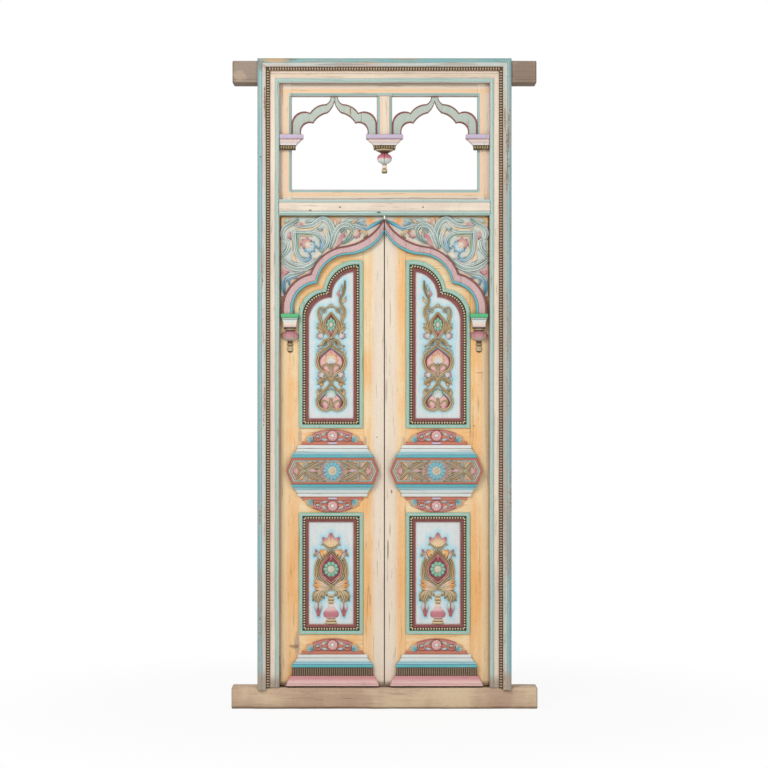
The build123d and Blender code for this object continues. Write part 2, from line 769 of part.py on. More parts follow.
def mitred_block(front_face, side_face, x0, x1, y0, y1):
    """A block moulded on three sides: its front outline and its side section, crossed."""
    return front_slab(front_face, y0, y1) & side_bar(side_face, x0, x1)


def bracket(middle, half, neck_half, y_front, y_back):
    """A moulded bracket: a slab, a cove and a row of beads."""
    lip_in, lip_up, lip_back = bracket_lip
    z3 = bracket_top
    z2 = z3 - bracket_slab
    z1 = z2 - bracket_cove
    z0 = z1 - bracket_bead_row
    lip = half - lip_in
    cove = neck_half + (half - neck_half) * bracket_taper_share
    cove_z = (z1 + z2) / 2 + bracket_cove_lift
    front = outline(
        (middle - half, z3), (middle + half, z3), (middle + half, z2 + lip_up), (middle + lip, z2),
        ((middle + cove, cove_z), (middle + neck_half, z1)),
        (middle + neck_half, z0), (middle - neck_half, z0), (middle - neck_half, z1),
        ((middle - cove, cove_z), (middle - lip, z2)), (middle - half, z2 + lip_up),
    )
    drop = bracket_depth * bracket_neck_back_share
    side = outline(
        (y_back, z3), (y_front, z3), (y_front, z2 + lip_up), (y_front + lip_back, z2),
        ((y_front + drop * bracket_cove_back_share, cove_z), (y_front + drop, z1)),
        (y_front + drop, z0), (y_back, z0),
    )
    reach = half + 1
    return mitred_block(front, side, middle - reach, middle + reach, y_front, y_back)


def transom_ornament(sash_stile):
    """The middle bracket, the two side brackets and the turned pendant."""
    y_front, y_back = sash_front_y - bracket_depth, sash_front_y + bracket_tail
    centre = bracket(0, bracket_half_width, bracket_neck_half, y_front, y_back)
    reach = sash_inner - side_bracket_reach
    outer = half_opening - bracket_joint_gap
    wide = outer - reach
    whole = bracket(outer, wide, wide - (bracket_half_width - bracket_neck_half), y_front, y_back)
    side = whole & block(0, outer, y_front, y_back, transom_bar_bottom, bracket_top)
    side -= sash_stile
    z = bracket_top - bracket_slab - bracket_cove - bracket_bead_row
    y = (y_front + y_back) / 2 - pendant_forward
    ball_top = -pendant_bowl_height
    ball_bottom = ball_top - pendant_ball_height
    knob_top = ball_bottom - pendant_neck_height
    bowl, waist = (bracket_neck_half * share for share in pendant_bowl_shares)
    profile = [(bowl, 0), (waist, ball_top * pendant_bowl_waist), (pendant_bowl_end, ball_top)]
    profile += round_points(pendant_ball_radius, pendant_ball_height, ball_top)
    profile += [(pendant_neck_radius, ball_bottom), (pendant_neck_radius, knob_top)]
    profile += [
        (pendant_knob_radius, knob_top - pendant_knob_ease),
        (pendant_knob_radius, knob_top - pendant_knob_height),
    ]
    return centre, side, turned(profile, 0, y, z)


def upper_panel_outline(share):
    """The upper panel's edge at a share of the moulding's width in from the timbers."""
    inset = moulding_width * share
    side, arcs = panel_head(share)
    foot = lock_rail_top + inset
    return outline((opening_low_x + inset, foot), (side[0], foot), side, *arcs)


def lower_panel_outline(share):
    """The lower panel's edge at a share of the moulding's width in from the timbers."""
    inset = moulding_width * share
    x0, x1 = opening_low_x + inset, opening_high_x - inset
    z0, z1 = bottom_rail_top + inset, lock_rail_bottom - inset
    return outline((x0, z0), (x1, z0), (x1, z1), (x0, z1))


def panels():
    """The two panels, each with a tongue all round that fills the grooves."""
    share = -panel_tongue / moulding_width
    upper = front_slab(upper_panel_outline(share), panel_front_y, panel_back_y)
    lower = front_slab(lower_panel_outline(share), panel_front_y, panel_back_y)
    return upper, lower


def rail_tenons(z0, z1):
    """The tenons at both ends of a rail, a little shorter than it is tall."""
    y0 = panel_front_y + (panel_thickness - rail_tenon_thickness) / 2
    y1 = y0 + rail_tenon_thickness
    low, high = z0 + rail_tenon_inset, z1 - rail_tenon_inset
    near = block(opening_low_x - rail_tenon_length, opening_low_x, y0, y1, low, high)
    far = block(opening_high_x, opening_high_x + rail_tenon_length, y0, y1, low, high)
    return near, far


def rails(panel_solids):
    """Top, lock and bottom rails with their tenons, grooved for the panels."""
    upper, lower = panel_solids
    side, arcs = panel_head(0)
    end = arcs[-1][1]
    lower_radius = panel_lower_radius[0] * arch_scale
    cut = lower_radius - rail_feather
    leg_x = side[0] - lower_radius + cut
    leg_z = side[1] + sqrt(lower_radius**2 - cut**2)
    centre = (side[0] - lower_radius, side[1])
    cusp = arcs[0][1]
    leg = (leg_x, leg_z)
    face = outline(
        end, (opening_low_x, leaf_top), (opening_high_x, leaf_top), (opening_high_x, leg_z), leg,
        (between(centre, lower_radius, leg, cusp), cusp), arcs[1],
    )
    top = front_slab(face, leaf_front_y, leaf_back_y)
    tenon_low = end[1]
    top_tenons = rail_tenons(tenon_low, leaf_top)
    lock = block(opening_low_x, opening_high_x, leaf_front_y, leaf_back_y, lock_rail_bottom, lock_rail_top)
    lock_tenons = rail_tenons(lock_rail_bottom, lock_rail_top)
    bottom = block(opening_low_x, opening_high_x, leaf_front_y, leaf_back_y, leaf_bottom, bottom_rail_top)
    bottom_tenons = rail_tenons(leaf_bottom, bottom_rail_top)
    tenons = (*top_tenons, *lock_tenons, *bottom_tenons)
    return (
        top - upper + top_tenons[0] + top_tenons[1],
        lock - upper - lower + lock_tenons[0] + lock_tenons[1],
        bottom - lower + bottom_tenons[0] + bottom_tenons[1],
    ), tenons


def pivot_pins():
    """The iron pins in the top and foot of the hanging stile."""
    low = sill_height - socket_depth + pivot_end_gap
    high = bar_low + socket_depth - pivot_end_gap
    tall = leaf_bottom + pivot_pin_embedment - low
    foot = Pos(pivot_x, pivot_y, low + tall / 2) * Cylinder(pivot_pin_radius, tall)
    tall = high - leaf_top + pivot_pin_embedment
    head = Pos(pivot_x, pivot_y, high - tall / 2) * Cylinder(pivot_pin_radius, tall)
    return foot, head


def pivot_sockets():
    """The iron rings that the right leaf's pins turn in, and the holes they fill."""
    outer = pivot_pin_radius + socket_wall
    inner = pivot_pin_radius + pivot_running_gap
    rings, holes = [], []
    for z in (sill_height - socket_depth / 2, bar_low + socket_depth / 2):
        hole = Pos(pivot_x, pivot_y, z) * Cylinder(outer, socket_depth)
        holes.append(hole)
        rings.append(hole - Pos(pivot_x, pivot_y, z) * Cylinder(inner, socket_depth))
    return rings, holes


def stiles(panel_solids, tenons, pins):
    """The hanging stile, rounded at its outer edge, and the meeting stile."""
    section = outline(
        (opening_high_x, leaf_back_y), (opening_high_x, leaf_front_y), (pivot_x, leaf_front_y),
        ((leaf_outer, pivot_y), (pivot_x, leaf_back_y)),
    )
    hanging = upright_bar(section, leaf_bottom, leaf_top)
    meeting = block(leaf_inner, opening_low_x, leaf_front_y, leaf_back_y, leaf_bottom, leaf_top)
    for near, far in zip(tenons[::2], tenons[1::2]):
        meeting -= near
        hanging -= far
    for panel in panel_solids:
        meeting -= panel
        hanging -= panel
    for pin in pins:
        hanging -= pin
    return hanging, meeting


def strip_faces(share0, share1, x0, x1, z0, z1):
    """Mitred near-side, far-side and foot pieces of one layer of a moulding."""
    a, b = moulding_width * share0, moulding_width * share1
    near = outline((x0 + a, z0 + a), (x0 + b, z0 + b), (x0 + b, z1[1]), (x0 + a, z1[0]))
    far = outline((x1 - a, z0 + a), (x1 - b, z0 + b), (x1 - b, z1[3]), (x1 - a, z1[2]))
    foot = outline((x0 + a, z0 + a), (x1 - a, z0 + a), (x1 - b, z0 + b), (x0 + b, z0 + b))
    return near, far, foot


def moulding_layers():
    """Each layer of a moulding: its two shares of the width and the depth of its face."""
    first = moulding_outer_share
    second = first + moulding_bead_share
    return [
        (0.0, first, moulding_front_y),
        (first, second, panel_front_y - moulding_bead_bed),
        (second, 1.0, panel_front_y - moulding_inner_height),
    ]


def bead_line(x0, z0, x1, z1):
    """Half-round beads from one point to another, on the bed of a moulding."""
    length = hypot(x1 - x0, z1 - z0)
    width = moulding_width * moulding_bead_share
    row = bead_row(length, width, bead_waist, moulding_bead_height, bead_pitch)
    turn = atan2(z1 - z0, x1 - x0) * 180 / pi
    seat = panel_front_y - moulding_bead_bed + bead_waist
    return Pos(x0, seat, z0) * (Rot(0, -turn, 0) * (Pos(0, 0, -width / 2) * row))


def upper_moulding():
    """The moulding round the upper panel: two sides, a foot and a cusped head."""
    x0, x1, z0 = opening_low_x, opening_high_x, lock_rail_top
    near, far, foot, head = None, None, None, None
    for share0, share1, y_front in moulding_layers():
        side_a, arcs_a = panel_head(share0)
        side_b, arcs_b = panel_head(share1)
        tops = (arcs_a[-1][1][1], arcs_b[-1][1][1], side_a[1], side_b[1])
        faces = list(strip_faces(share0, share1, x0, x1, z0, tops))
        far_end, back = reversed_steps(side_b, arcs_b)
        faces.append(outline(side_a, *arcs_a, far_end, *back))
        near, far, foot, head = (
            front_slab(face, y_front, panel_front_y) if whole is None
            else whole + front_slab(face, y_front, panel_front_y)
            for face, whole in zip(faces, (near, far, foot, head))
        )
    share = moulding_outer_share + moulding_bead_share / 2
    inset = moulding_width * share
    side, arcs = panel_head(share)
    trim = moulding_width * moulding_bead_share / 2 + bead_corner_gap
    near += bead_line(x0 + inset, z0 + inset + trim, x0 + inset, arcs[-1][1][1] - trim)
    far += bead_line(x1 - inset, z0 + inset + trim, x1 - inset, side[1] - trim)
    foot += bead_line(x0 + inset + trim, z0 + inset, x1 - inset - trim, z0 + inset)
    start = side
    for through, end in arcs:
        arc = ThreePointArc(start, through, end)
        count = max(2, round(arc.length / bead_pitch))
        for k in range(count):
            t = (k + 0.5) / count
            if not trim < t * arc.length < arc.length - trim:
                continue
            spot, way = arc @ t, arc % t
            half = (arc.length / count - bead_waist) / 2
            wide = moulding_width * moulding_bead_share
            bead = extrude(outline((-half, 0), ((0, -moulding_bead_height), (half, 0))), amount=wide)
            turn = atan2(way.Y, way.X) * 180 / pi
            seat = panel_front_y - moulding_bead_bed
            head += Pos(spot.X, seat, spot.Y) * (Rot(0, -turn, 0) * (Pos(0, 0, -wide / 2) * bead))
        start = end
    return Compound(children=[near, far, foot, head])


def lower_moulding():
    """The moulding round the lower panel, mitred at its four corners."""
    x0, x1, z0, z1 = opening_low_x, opening_high_x, bottom_rail_top, lock_rail_bottom
    pieces = [None] * 4
    for share0, share1, y_front in moulding_layers():
        a, b = moulding_width * share0, moulding_width * share1
        tops = (z1 - a, z1 - b, z1 - a, z1 - b)
        faces = [*strip_faces(share0, share1, x0, x1, z0, tops)]
        faces.append(outline((x0 + a, z1 - a), (x1 - a, z1 - a), (x1 - b, z1 - b), (x0 + b, z1 - b)))
        slabs = [front_slab(face, y_front, panel_front_y) for face in faces]
        pieces = [slab if piece is None else piece + slab for piece, slab in zip(pieces, slabs)]
    share = moulding_outer_share + moulding_bead_share / 2
    inset = moulding_width * share
    trim = moulding_width * moulding_bead_share / 2 + bead_corner_gap
    low, high, left, right = z0 + inset, z1 - inset, x0 + inset, x1 - inset
    rows = [
        (left, low + trim, left, high - trim), (right, low + trim, right, high - trim),
        (left + trim, low, right - trim, low), (left + trim, high, right - trim, high),
    ]
    return Compound(children=[piece + bead_line(*row) for piece, row in zip(pieces, rows)])


def arch_band():
    """The cusped band over the upper panel, with a raised edge along each side."""
    start_out, out = arch_line(extrados_ogee_centre, extrados_upper_radius, extrados_lower_radius)
    start_in, into = arch_line(intrados_ogee_centre, intrados_upper_radius, intrados_lower_radius)
    foot_z = trim_top - arch_foot_drop * arch_scale
    y0, y1 = leaf_front_y - arch_band_thickness, leaf_front_y

    def ring(outer, inner):
        """The face between two arch lines, down to the foot."""
        first, steps = outer
        last, back = reversed_steps(*inner)
        return outline(first, *steps, (steps[-1][1][0], foot_z), (last[0], foot_z), last, *back)

    band = front_slab(ring((start_out, out), (start_in, into)), y0, y1)
    edge = arch_edge_width
    inside_out = arch_line(
        extrados_ogee_centre, extrados_upper_radius - edge, extrados_lower_radius - edge
    )
    inside_in = arch_line(
        intrados_ogee_centre, intrados_upper_radius + edge, intrados_lower_radius + edge
    )
    band += front_slab(ring((start_out, out), inside_out), y0 - arch_edge_rise, y0)
    return band + front_slab(ring(inside_in, (start_in, into)), y0 - arch_edge_rise, y0)


def spandrel():
    """The carved board that fills the corner over the arch."""
    start, steps = arch_line(
        extrados_ogee_centre, extrados_upper_radius, extrados_lower_radius, spandrel_tip_angle
    )
    foot = steps[-1][1]
    face = outline(start, *steps, (trim_outer, foot[1]), (trim_outer, trim_top), (leaf_inner, trim_top))
    seat = leaf_front_y - spandrel_thickness
    board = front_slab(face, seat, leaf_front_y)
    scale = arch_scale

    def placed(strokes):
        """Spandrel strokes as faces, from the board's outer top corner."""
        scaled = [([(u * scale, d * scale) for u, d in points], widths) for points, widths in strokes]
        return placed_strokes(scaled, trim_outer, trim_top, -1, -1)

    u, d, radius, petals = spandrel_flower
    petal_faces, core = rosette(trim_outer - u * scale, trim_top - d * scale, radius * scale, petals)
    low = [*placed(spandrel_strokes), *petal_faces]
    high = [*placed(ridges(spandrel_strokes)), core]
    return board + relief(low, high, seat, inside=face)


def corbel():
    """The bracket under the arch's foot, with a half-turned drop below it."""
    high_x = trim_outer
    low_x = high_x - corbel_width
    middle = (low_x + high_x) / 2
    z3 = trim_top - arch_foot_drop * arch_scale
    z2 = z3 - corbel_slab
    z1 = z2 - corbel_cove
    y0, y1 = leaf_front_y - corbel_depth, leaf_front_y
    lip, cove_z = corbel_lip, (z1 + z2) / 2
    cove = corbel_neck_inset + corbel_cove_in
    neck = corbel_neck_inset + corbel_neck_in
    front = outline(
        (low_x, z3), (high_x, z3), (high_x, z2 + lip), (high_x - lip, z2),
        ((high_x - cove, cove_z), (high_x - neck, z1)), (low_x + neck, z1),
        ((low_x + cove, cove_z), (low_x + lip, z2)), (low_x, z2 + lip),
    )
    side = outline(
        (y1, z3), (y0, z3), (y0, z2 + lip), (y0 + lip, z2),
        ((y0 + neck, cove_z), (y0 + corbel_neck_inset, z1)), (y1, z1),
    )
    cap = mitred_block(front, side, low_x - 1, high_x + 1, y0, y1)
    collar = drop_collar
    ball_end = -collar - drop_height
    top_share, low_share = drop_collar_shares
    tail = [ball_end - drop_tail * share for share in drop_tail_shares]
    profile = [(drop_radius * top_share, 0), (drop_radius * low_share, -collar)]
    profile += round_points(drop_radius, drop_height, -collar)
    profile += [
        (drop_stem_radius, ball_end), (drop_stem_radius, tail[0]), (drop_knob_radius, tail[1]),
        (drop_stem_radius * drop_waist_share, tail[2]), (drop_knob_radius, tail[3]),
        (drop_knob_radius, tail[4]),
        (drop_knob_radius * drop_foot_share, ball_end - drop_tail),
    ]
    return cap + turned(profile, middle, y1, z1, keep_front_of=y1)


def upper_carving():
    """The scrolls, flowers and stem on the upper panel."""
    x, z = opening_middle_x, lock_rail_top + moulding_width + upper_carving_lift
    low, high = [], []
    for across in (1, -1):
        low += placed_strokes(upper_strokes, x, z, across)
        high += placed_strokes(ridges(upper_strokes), x, z, across)
    low += placed_strokes(upper_stem_strokes, x, z, -1)
    high += placed_strokes(ridges(upper_stem_strokes), x, z, -1)
    for u, v, radius, petals in upper_flowers:
        petal_faces, core = rosette(x + u, z + v, radius, petals)
        low += petal_faces
        high.append(core)
    return relief(low, high, panel_front_y)


def vase_face(x, z, share):
    """The vase's outline, at a share of its width."""
    right = [(x + share * u, z + v) for u, v in vase_outline]
    left = [(x - share * u, z + v) for u, v in reversed(vase_outline)]
    return make_face(Polyline(*right, *left, close=True))


def lower_carving():
    """The vase of flowers on the lower panel."""
    x, z = opening_middle_x, bottom_rail_top + moulding_width
    low, high = [], []
    for across in (1, -1):
        low += placed_strokes(lower_strokes, x, z, across)
        high += placed_strokes(ridges(lower_strokes), x, z, across)
    low += placed_strokes(lower_middle_strokes, x, z)
    high += placed_strokes(ridges(lower_middle_strokes), x, z)
    u, v, radius, petals = lower_flower
    petal_faces, core = rosette(x + u, z + v, radius, petals)
    low += petal_faces
    high.append(core)
    low.append(vase_face(x, z, 1.0))
    neck_z, neck_wide, neck_tall = vase_neck
    low.append(Pos(x, z + neck_z) * Rectangle(neck_wide, neck_tall))
    high.append(vase_face(x, z, vase_core_share))
    return relief(low, high, panel_front_y)


def cornice_profiles(z_outer, direction):
    """Half width and depth of a cornice, from its broad band to its narrow fillet."""
    z1 = z_outer + direction * cornice_band
    z2 = z1 + direction * cornice_height
    z3 = z2 + direction * fillet_height
    lip_in, lip_back, lip_along = cornice_lip
    start_out, start_forward, start_along = cornice_cove_start
    end_out, end_forward = cornice_cove_end
    return [
        (cornice_outer_half, cornice_outer_depth, z_outer),
        (cornice_outer_half, cornice_outer_depth, z1),
        (cornice_outer_half - lip_in, cornice_outer_depth - lip_back, z1 + direction * lip_along),
        (cornice_inner_half + start_out, cornice_inner_depth + start_forward, z2 - direction * start_along),
        (cornice_inner_half + end_out, cornice_inner_depth + end_forward, z2),
        (cornice_inner_half, cornice_inner_depth, z2),
        (cornice_inner_half, cornice_inner_depth, z3),
    ]


def stepped_block(middle, rows):
    """A block moulded on three sides from rows of half width, depth and height."""
    y1 = leaf_front_y
    right = [(middle + half, z) for half, _, z in rows]
    left = [(middle - half, z) for half, _, z in reversed(rows)]
    slope = [(y1 - depth, z) for _, depth, z in rows]
    front = outline(*right, *left)
    side = outline(*slope, (y1, rows[-1][2]), (y1, rows[0][2]))
    reach = max(half for half, _, _ in rows) + 1
    deep = max(depth for _, depth, _ in rows) + 1
    return mitred_block(front, side, middle - reach, middle + reach, y1 - deep, y1)


def belt():
    """The pointed block across the leaf, with a cornice above and below and a carved face."""
    x, z = face_middle_x, lock_rail_bottom + belt_centre_rise
    high, low = z + belt_height / 2, z - belt_height / 2

    def pointed(inset):
        """The block's six-sided face, drawn in by an inset."""
        half = belt_half_width - inset
        rise = belt_height / 2 - inset
        shoulder = half - belt_point
        return outline(
            (x - half, z), (x - shoulder, z - rise), (x + shoulder, z - rise), (x + half, z),
            (x + shoulder, z + rise), (x - shoulder, z + rise),
        )

    y0 = leaf_front_y - belt_thickness
    body = front_slab(pointed(0), y0, leaf_front_y)
    seat = y0 + belt_face_sink
    body -= front_slab(pointed(belt_face_edge), y0, seat)
    body += stepped_block(x, cornice_profiles(high, 1))
    body += stepped_block(x, cornice_profiles(low, -1))
    low_faces, high_faces = [], []
    for across in (1, -1):
        for up in (1, -1):
            low_faces += placed_strokes(belt_strokes, x, z, across, up)
            high_faces += placed_strokes(ridges(belt_strokes), x, z, across, up)
    u, v, radius, petals = belt_flower
    petal_faces, core = rosette(x + u, z + v, radius, petals)
    low_faces += petal_faces
    high_faces.append(core)
    return body + relief(low_faces, high_faces, seat, inside=pointed(belt_face_edge))


def frieze_piece(foot_z, up):
    """One small arched carving, standing on foot_z or hanging from it."""
    x = face_middle_x
    half, tall = frieze_half_width, frieze_height
    shoulder, shoulder_z = half - frieze_shoulder_in, foot_z + up * tall * frieze_shoulder_share
    plate = outline(
        (x - half, foot_z), (x + half, foot_z), (x + shoulder, shoulder_z),
        ((x, foot_z + up * tall * frieze_crown_share), (x - shoulder, shoulder_z)),
    )
    seat = leaf_front_y - frieze_plate
    body = front_slab(plate, seat, leaf_front_y)
    faces = []
    for across in (1, -1):
        faces += placed_strokes(frieze_strokes, x, foot_z, across, up)
    u, v, radius, petals = frieze_flower
    petal_faces, _ = rosette(x + u, foot_z + up * v, radius, petals)
    low = flat_union([*faces, *petal_faces]) & plate
    return body + front_slab(low, seat - frieze_relief, seat)


def frieze_carvings():
    """The three small arched carvings: over the belt, under it and over the plinth."""
    centre = lock_rail_bottom + belt_centre_rise
    step = belt_height / 2 + cornice_band + cornice_height + fillet_height
    plinth_top = leaf_bottom + plinth_skirt_height + plinth_flute_height
    plinth_top += cornice_band + cornice_height + fillet_height
    places = [(centre + step, 1), (centre - step, -1), (plinth_top, 1)]
    return Compound(children=[frieze_piece(z, up) for z, up in places])


def plinth():
    """The foot block: a sloping skirt, a fluted band and a cornice."""
    x = face_middle_x
    z1 = leaf_bottom + plinth_skirt_height
    z2 = z1 + plinth_flute_height
    rows = [
        (plinth_foot_half, plinth_foot_depth, leaf_bottom),
        (plinth_foot_half, plinth_foot_depth, leaf_bottom + plinth_foot_lip),
        (plinth_top_half + plinth_top_lip, plinth_top_depth, z1),
        (plinth_top_half - flute_bed_in, plinth_top_depth - flute_bed_back, z1),
        (plinth_top_half - flute_bed_in, plinth_top_depth - flute_bed_back, z2),
    ]
    rows += cornice_profiles(z2, 1)
    body = stepped_block(x, rows)
    long = 2 * (plinth_top_half - flute_row_in)
    row = bead_row(long, plinth_flute_height, bead_waist, flute_depth, bead_pitch)
    return body + Pos(x - long / 2, leaf_front_y - plinth_top_depth + flute_bed_back + bead_waist, z1) * row


def write(name, shape):
    """Writes one node's solids."""
    export_step(Compound(children=list(shape.solids())), f"parts/{name}.step")


def main():
    """Builds every piece and writes it."""
    os.makedirs("parts", exist_ok=True)
    sill, head_beam = sill_and_head()
    right_jamb, bar = jamb(), transom_bar()
    right_stop, head_stop = stops()
    right_casing, head_casing = casings()
    stile, top_rail, bottom_rail, mullion = sash()
    middle_bracket, side_bracket, pendant = transom_ornament(stile)
    rings, holes = pivot_sockets()
    for hole in (holes[0], mirrored(holes[0])):
        sill -= hole
    for hole in (holes[1], mirrored(holes[1])):
        bar -= hole
    foot_tenon = jamb_tenon(sill_height - tenon_length, sill_height)
    head_tenon = jamb_tenon(head_underside, head_underside + tenon_length)
    for tenon in (foot_tenon, mirrored(foot_tenon)):
        sill -= tenon
    for tenon in (head_tenon, mirrored(head_tenon)):
        head_beam -= tenon

    write("sill", sill)
    write("head_beam", head_beam)
    write("transom_bar", bar)
    write("head_stop", head_stop)
    write("head_casing", head_casing)
    write("bead_strips", bead_strips())
    write("sash_top_rail", top_rail)
    write("sash_bottom_rail", bottom_rail)
    write("sash_mullion", mullion)
    write("middle_bracket", middle_bracket)
    write("side_brackets", Compound(children=[side_bracket, mirrored(side_bracket)]))
    write("transom_pendant", pendant)
    write("pivot_sockets", Compound(children=[*rings, *(mirrored(ring) for ring in rings)]))

    panel_solids = panels()
    (top, lock, bottom), tenons = rails(panel_solids)
    pins = pivot_pins()
    hanging, meeting = stiles(panel_solids, tenons, pins)
    pieces = {
        "jamb": right_jamb,
        "stop": right_stop,
        "casing": right_casing,
        "sash_stile": stile,
        "transom_arch": light_arch(),
        "hanging_stile": hanging,
        "meeting_stile": meeting,
        "top_rail": top,
        "lock_rail": lock,
        "bottom_rail": bottom,
        "upper_panel": panel_solids[0],
        "lower_panel": panel_solids[1],
        "upper_moulding": upper_moulding(),
        "lower_moulding": lower_moulding(),
        "upper_carving": upper_carving(),
        "lower_carving": lower_carving(),
        "spandrel": spandrel(),
        "arch_band": arch_band(),
        "arch_corbel": corbel(),
        "belt": belt(),
        "frieze_carvings": frieze_carvings(),
        "plinth": plinth(),
        "pivot_pins": Compound(children=list(pins)),
    }
    for name, piece in pieces.items():
        write(f"right_{name}", piece)
        write(f"left_{name}", mirrored(piece))


main()
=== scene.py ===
"""The finished look of a painted, carved double door with its frame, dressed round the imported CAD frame.

Sizes are in millimetres, as in the timbers' own drawing, and become metres as a mesh is made. X runs across the
door, Y from the front (-Y) to the back and Z up. A leaf's pieces are drawn on the right leaf, where X is the
distance from the middle of the door, and mirrored for the left leaf.
"""

from __future__ import annotations

import logging
import math
from collections.abc import Callable
from dataclasses import dataclass, field, replace
from enum import Enum

import bpy
import numpy as np
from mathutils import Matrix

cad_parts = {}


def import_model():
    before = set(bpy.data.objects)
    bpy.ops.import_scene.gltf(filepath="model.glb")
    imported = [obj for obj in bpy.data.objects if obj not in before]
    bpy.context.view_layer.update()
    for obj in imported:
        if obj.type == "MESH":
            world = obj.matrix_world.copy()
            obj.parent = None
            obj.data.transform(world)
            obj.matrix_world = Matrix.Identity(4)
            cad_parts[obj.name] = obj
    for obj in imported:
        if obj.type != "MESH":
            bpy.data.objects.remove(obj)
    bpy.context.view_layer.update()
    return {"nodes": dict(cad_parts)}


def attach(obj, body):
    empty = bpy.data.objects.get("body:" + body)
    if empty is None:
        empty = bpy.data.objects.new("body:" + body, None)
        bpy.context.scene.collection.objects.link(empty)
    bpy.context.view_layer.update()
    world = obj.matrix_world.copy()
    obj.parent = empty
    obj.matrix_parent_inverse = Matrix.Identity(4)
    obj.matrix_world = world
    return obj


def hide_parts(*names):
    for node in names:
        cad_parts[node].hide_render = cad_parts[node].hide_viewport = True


Array = np.ndarray
Point = tuple[float, float]
LOG = logging.getLogger("door")
MM = 0.001
LEAF_FACE = -15.0  # the Y of a leaf's front
PANEL_FACE = -3.0  # the Y of a panel's front
TRIM_TOP = 2043.0  # the Z of a leaf's head
SUNK = 1.0  # how far a carving's back goes into what carries it
LEAF_SEAT = LEAF_FACE + SUNK
PANEL_SEAT = PANEL_FACE + SUNK
END_SHRINK = 0.94  # the size of a worn timber's end against its section


# ---------------------------------------------------------------- colours


class Coat(Enum):
    """The painter's colours, as display values from 0 to 255."""

    CREAM = (234, 219, 200)
    WARM_CREAM = (240, 214, 172)
    ORANGE = (243, 190, 128)
    DEEP_ORANGE = (236, 168, 96)
    PINK_CREAM = (228, 209, 191)
    PALE_BLUE = (196, 209, 210)
    TURQUOISE = (112, 180, 184)
    DEEP_TURQUOISE = (84, 158, 170)
    MINT = (176, 201, 193)
    SAGE = (150, 190, 168)
    GREEN = (138, 196, 172)
    BRIGHT_GREEN = (92, 186, 128)
    LIGHT_BLUE = (178, 212, 228)
    SKY = (120, 186, 214)
    WHITE = (221, 225, 221)
    PANEL_WHITE = (219, 225, 224)
    HALO_BLUE = (176, 220, 230)
    CASING_TEAL = (132, 179, 179)
    CASING_PALE = (197, 208, 202)
    STONE = (198, 207, 200)
    SCROLL = (212, 223, 218)
    CLAY = (194, 168, 150)
    BRIGHT_TURQUOISE = (98, 184, 192)
    MAROON = (142, 84, 80)
    DARK_MAROON = (104, 58, 56)
    RED = (200, 124, 104)
    PINK = (206, 144, 146)
    PALE_PINK = (229, 186, 182)
    ROSE = (198, 118, 130)
    LILAC = (212, 188, 190)
    LAVENDER = (200, 184, 206)
    GOLD = (204, 176, 130)
    OLIVE = (160, 142, 102)
    KHAKI = (220, 200, 164)
    BEIGE = (214, 190, 158)
    UMBER = (74, 52, 40)
    BEAD_BROWN = (92, 68, 52)
    BEAD_TAN = (190, 166, 134)
    SILL_WOOD = (190, 160, 136)
    GREY_WOOD = (168, 152, 136)
    DARK_WOOD = (118, 92, 72)
    RUST = (86, 62, 50)
    OLD_GREY = (156, 140, 126)
    REED = (144, 126, 104)
    WORN_PINK = (196, 180, 170)
    SEA_GREEN = (150, 208, 186)
    PETAL_BLUE = (128, 184, 196)
    DULL_ROSE = (188, 130, 136)
    HEART = (208, 202, 182)

    @property
    def light(self) -> Array:
        """The colour in linear light: the display curve undone, channel by channel."""
        c = np.asarray(self.value, float) / 255
        return np.where(c <= 0.04045, c / 12.92, ((c + 0.055) / 1.055) ** 2.4)


GOLD, KHAKI, OLIVE, MAROON, PINK = Coat.GOLD, Coat.KHAKI, Coat.OLIVE, Coat.MAROON, Coat.PINK
PALE_PINK, ROSE, WHITE, MINT, SAGE, SKY = Coat.PALE_PINK, Coat.ROSE, Coat.WHITE, Coat.MINT, Coat.SAGE, Coat.SKY
SCROLL, BEAD_BROWN, BEIGE, CASING_PALE, CREAM = Coat.SCROLL, Coat.BEAD_BROWN, Coat.BEIGE, Coat.CASING_PALE, Coat.CREAM
DARK_MAROON, DARK_WOOD, DEEP_ORANGE = Coat.DARK_MAROON, Coat.DARK_WOOD, Coat.DEEP_ORANGE
DEEP_TURQUOISE, DULL_ROSE, GREEN, GREY_WOOD = Coat.DEEP_TURQUOISE, Coat.DULL_ROSE, Coat.GREEN, Coat.GREY_WOOD
HEART, LIGHT_BLUE, LILAC, ORANGE, PALE_BLUE = Coat.HEART, Coat.LIGHT_BLUE, Coat.LILAC, Coat.ORANGE, Coat.PALE_BLUE
PINK_CREAM, RED, STONE, TURQUOISE, UMBER = Coat.PINK_CREAM, Coat.RED, Coat.STONE, Coat.TURQUOISE, Coat.UMBER
WARM_CREAM, WORN_PINK = Coat.WARM_CREAM, Coat.WORN_PINK
Row = tuple[float, float, float, Coat, float]


# ---------------------------------------------------------------- skins


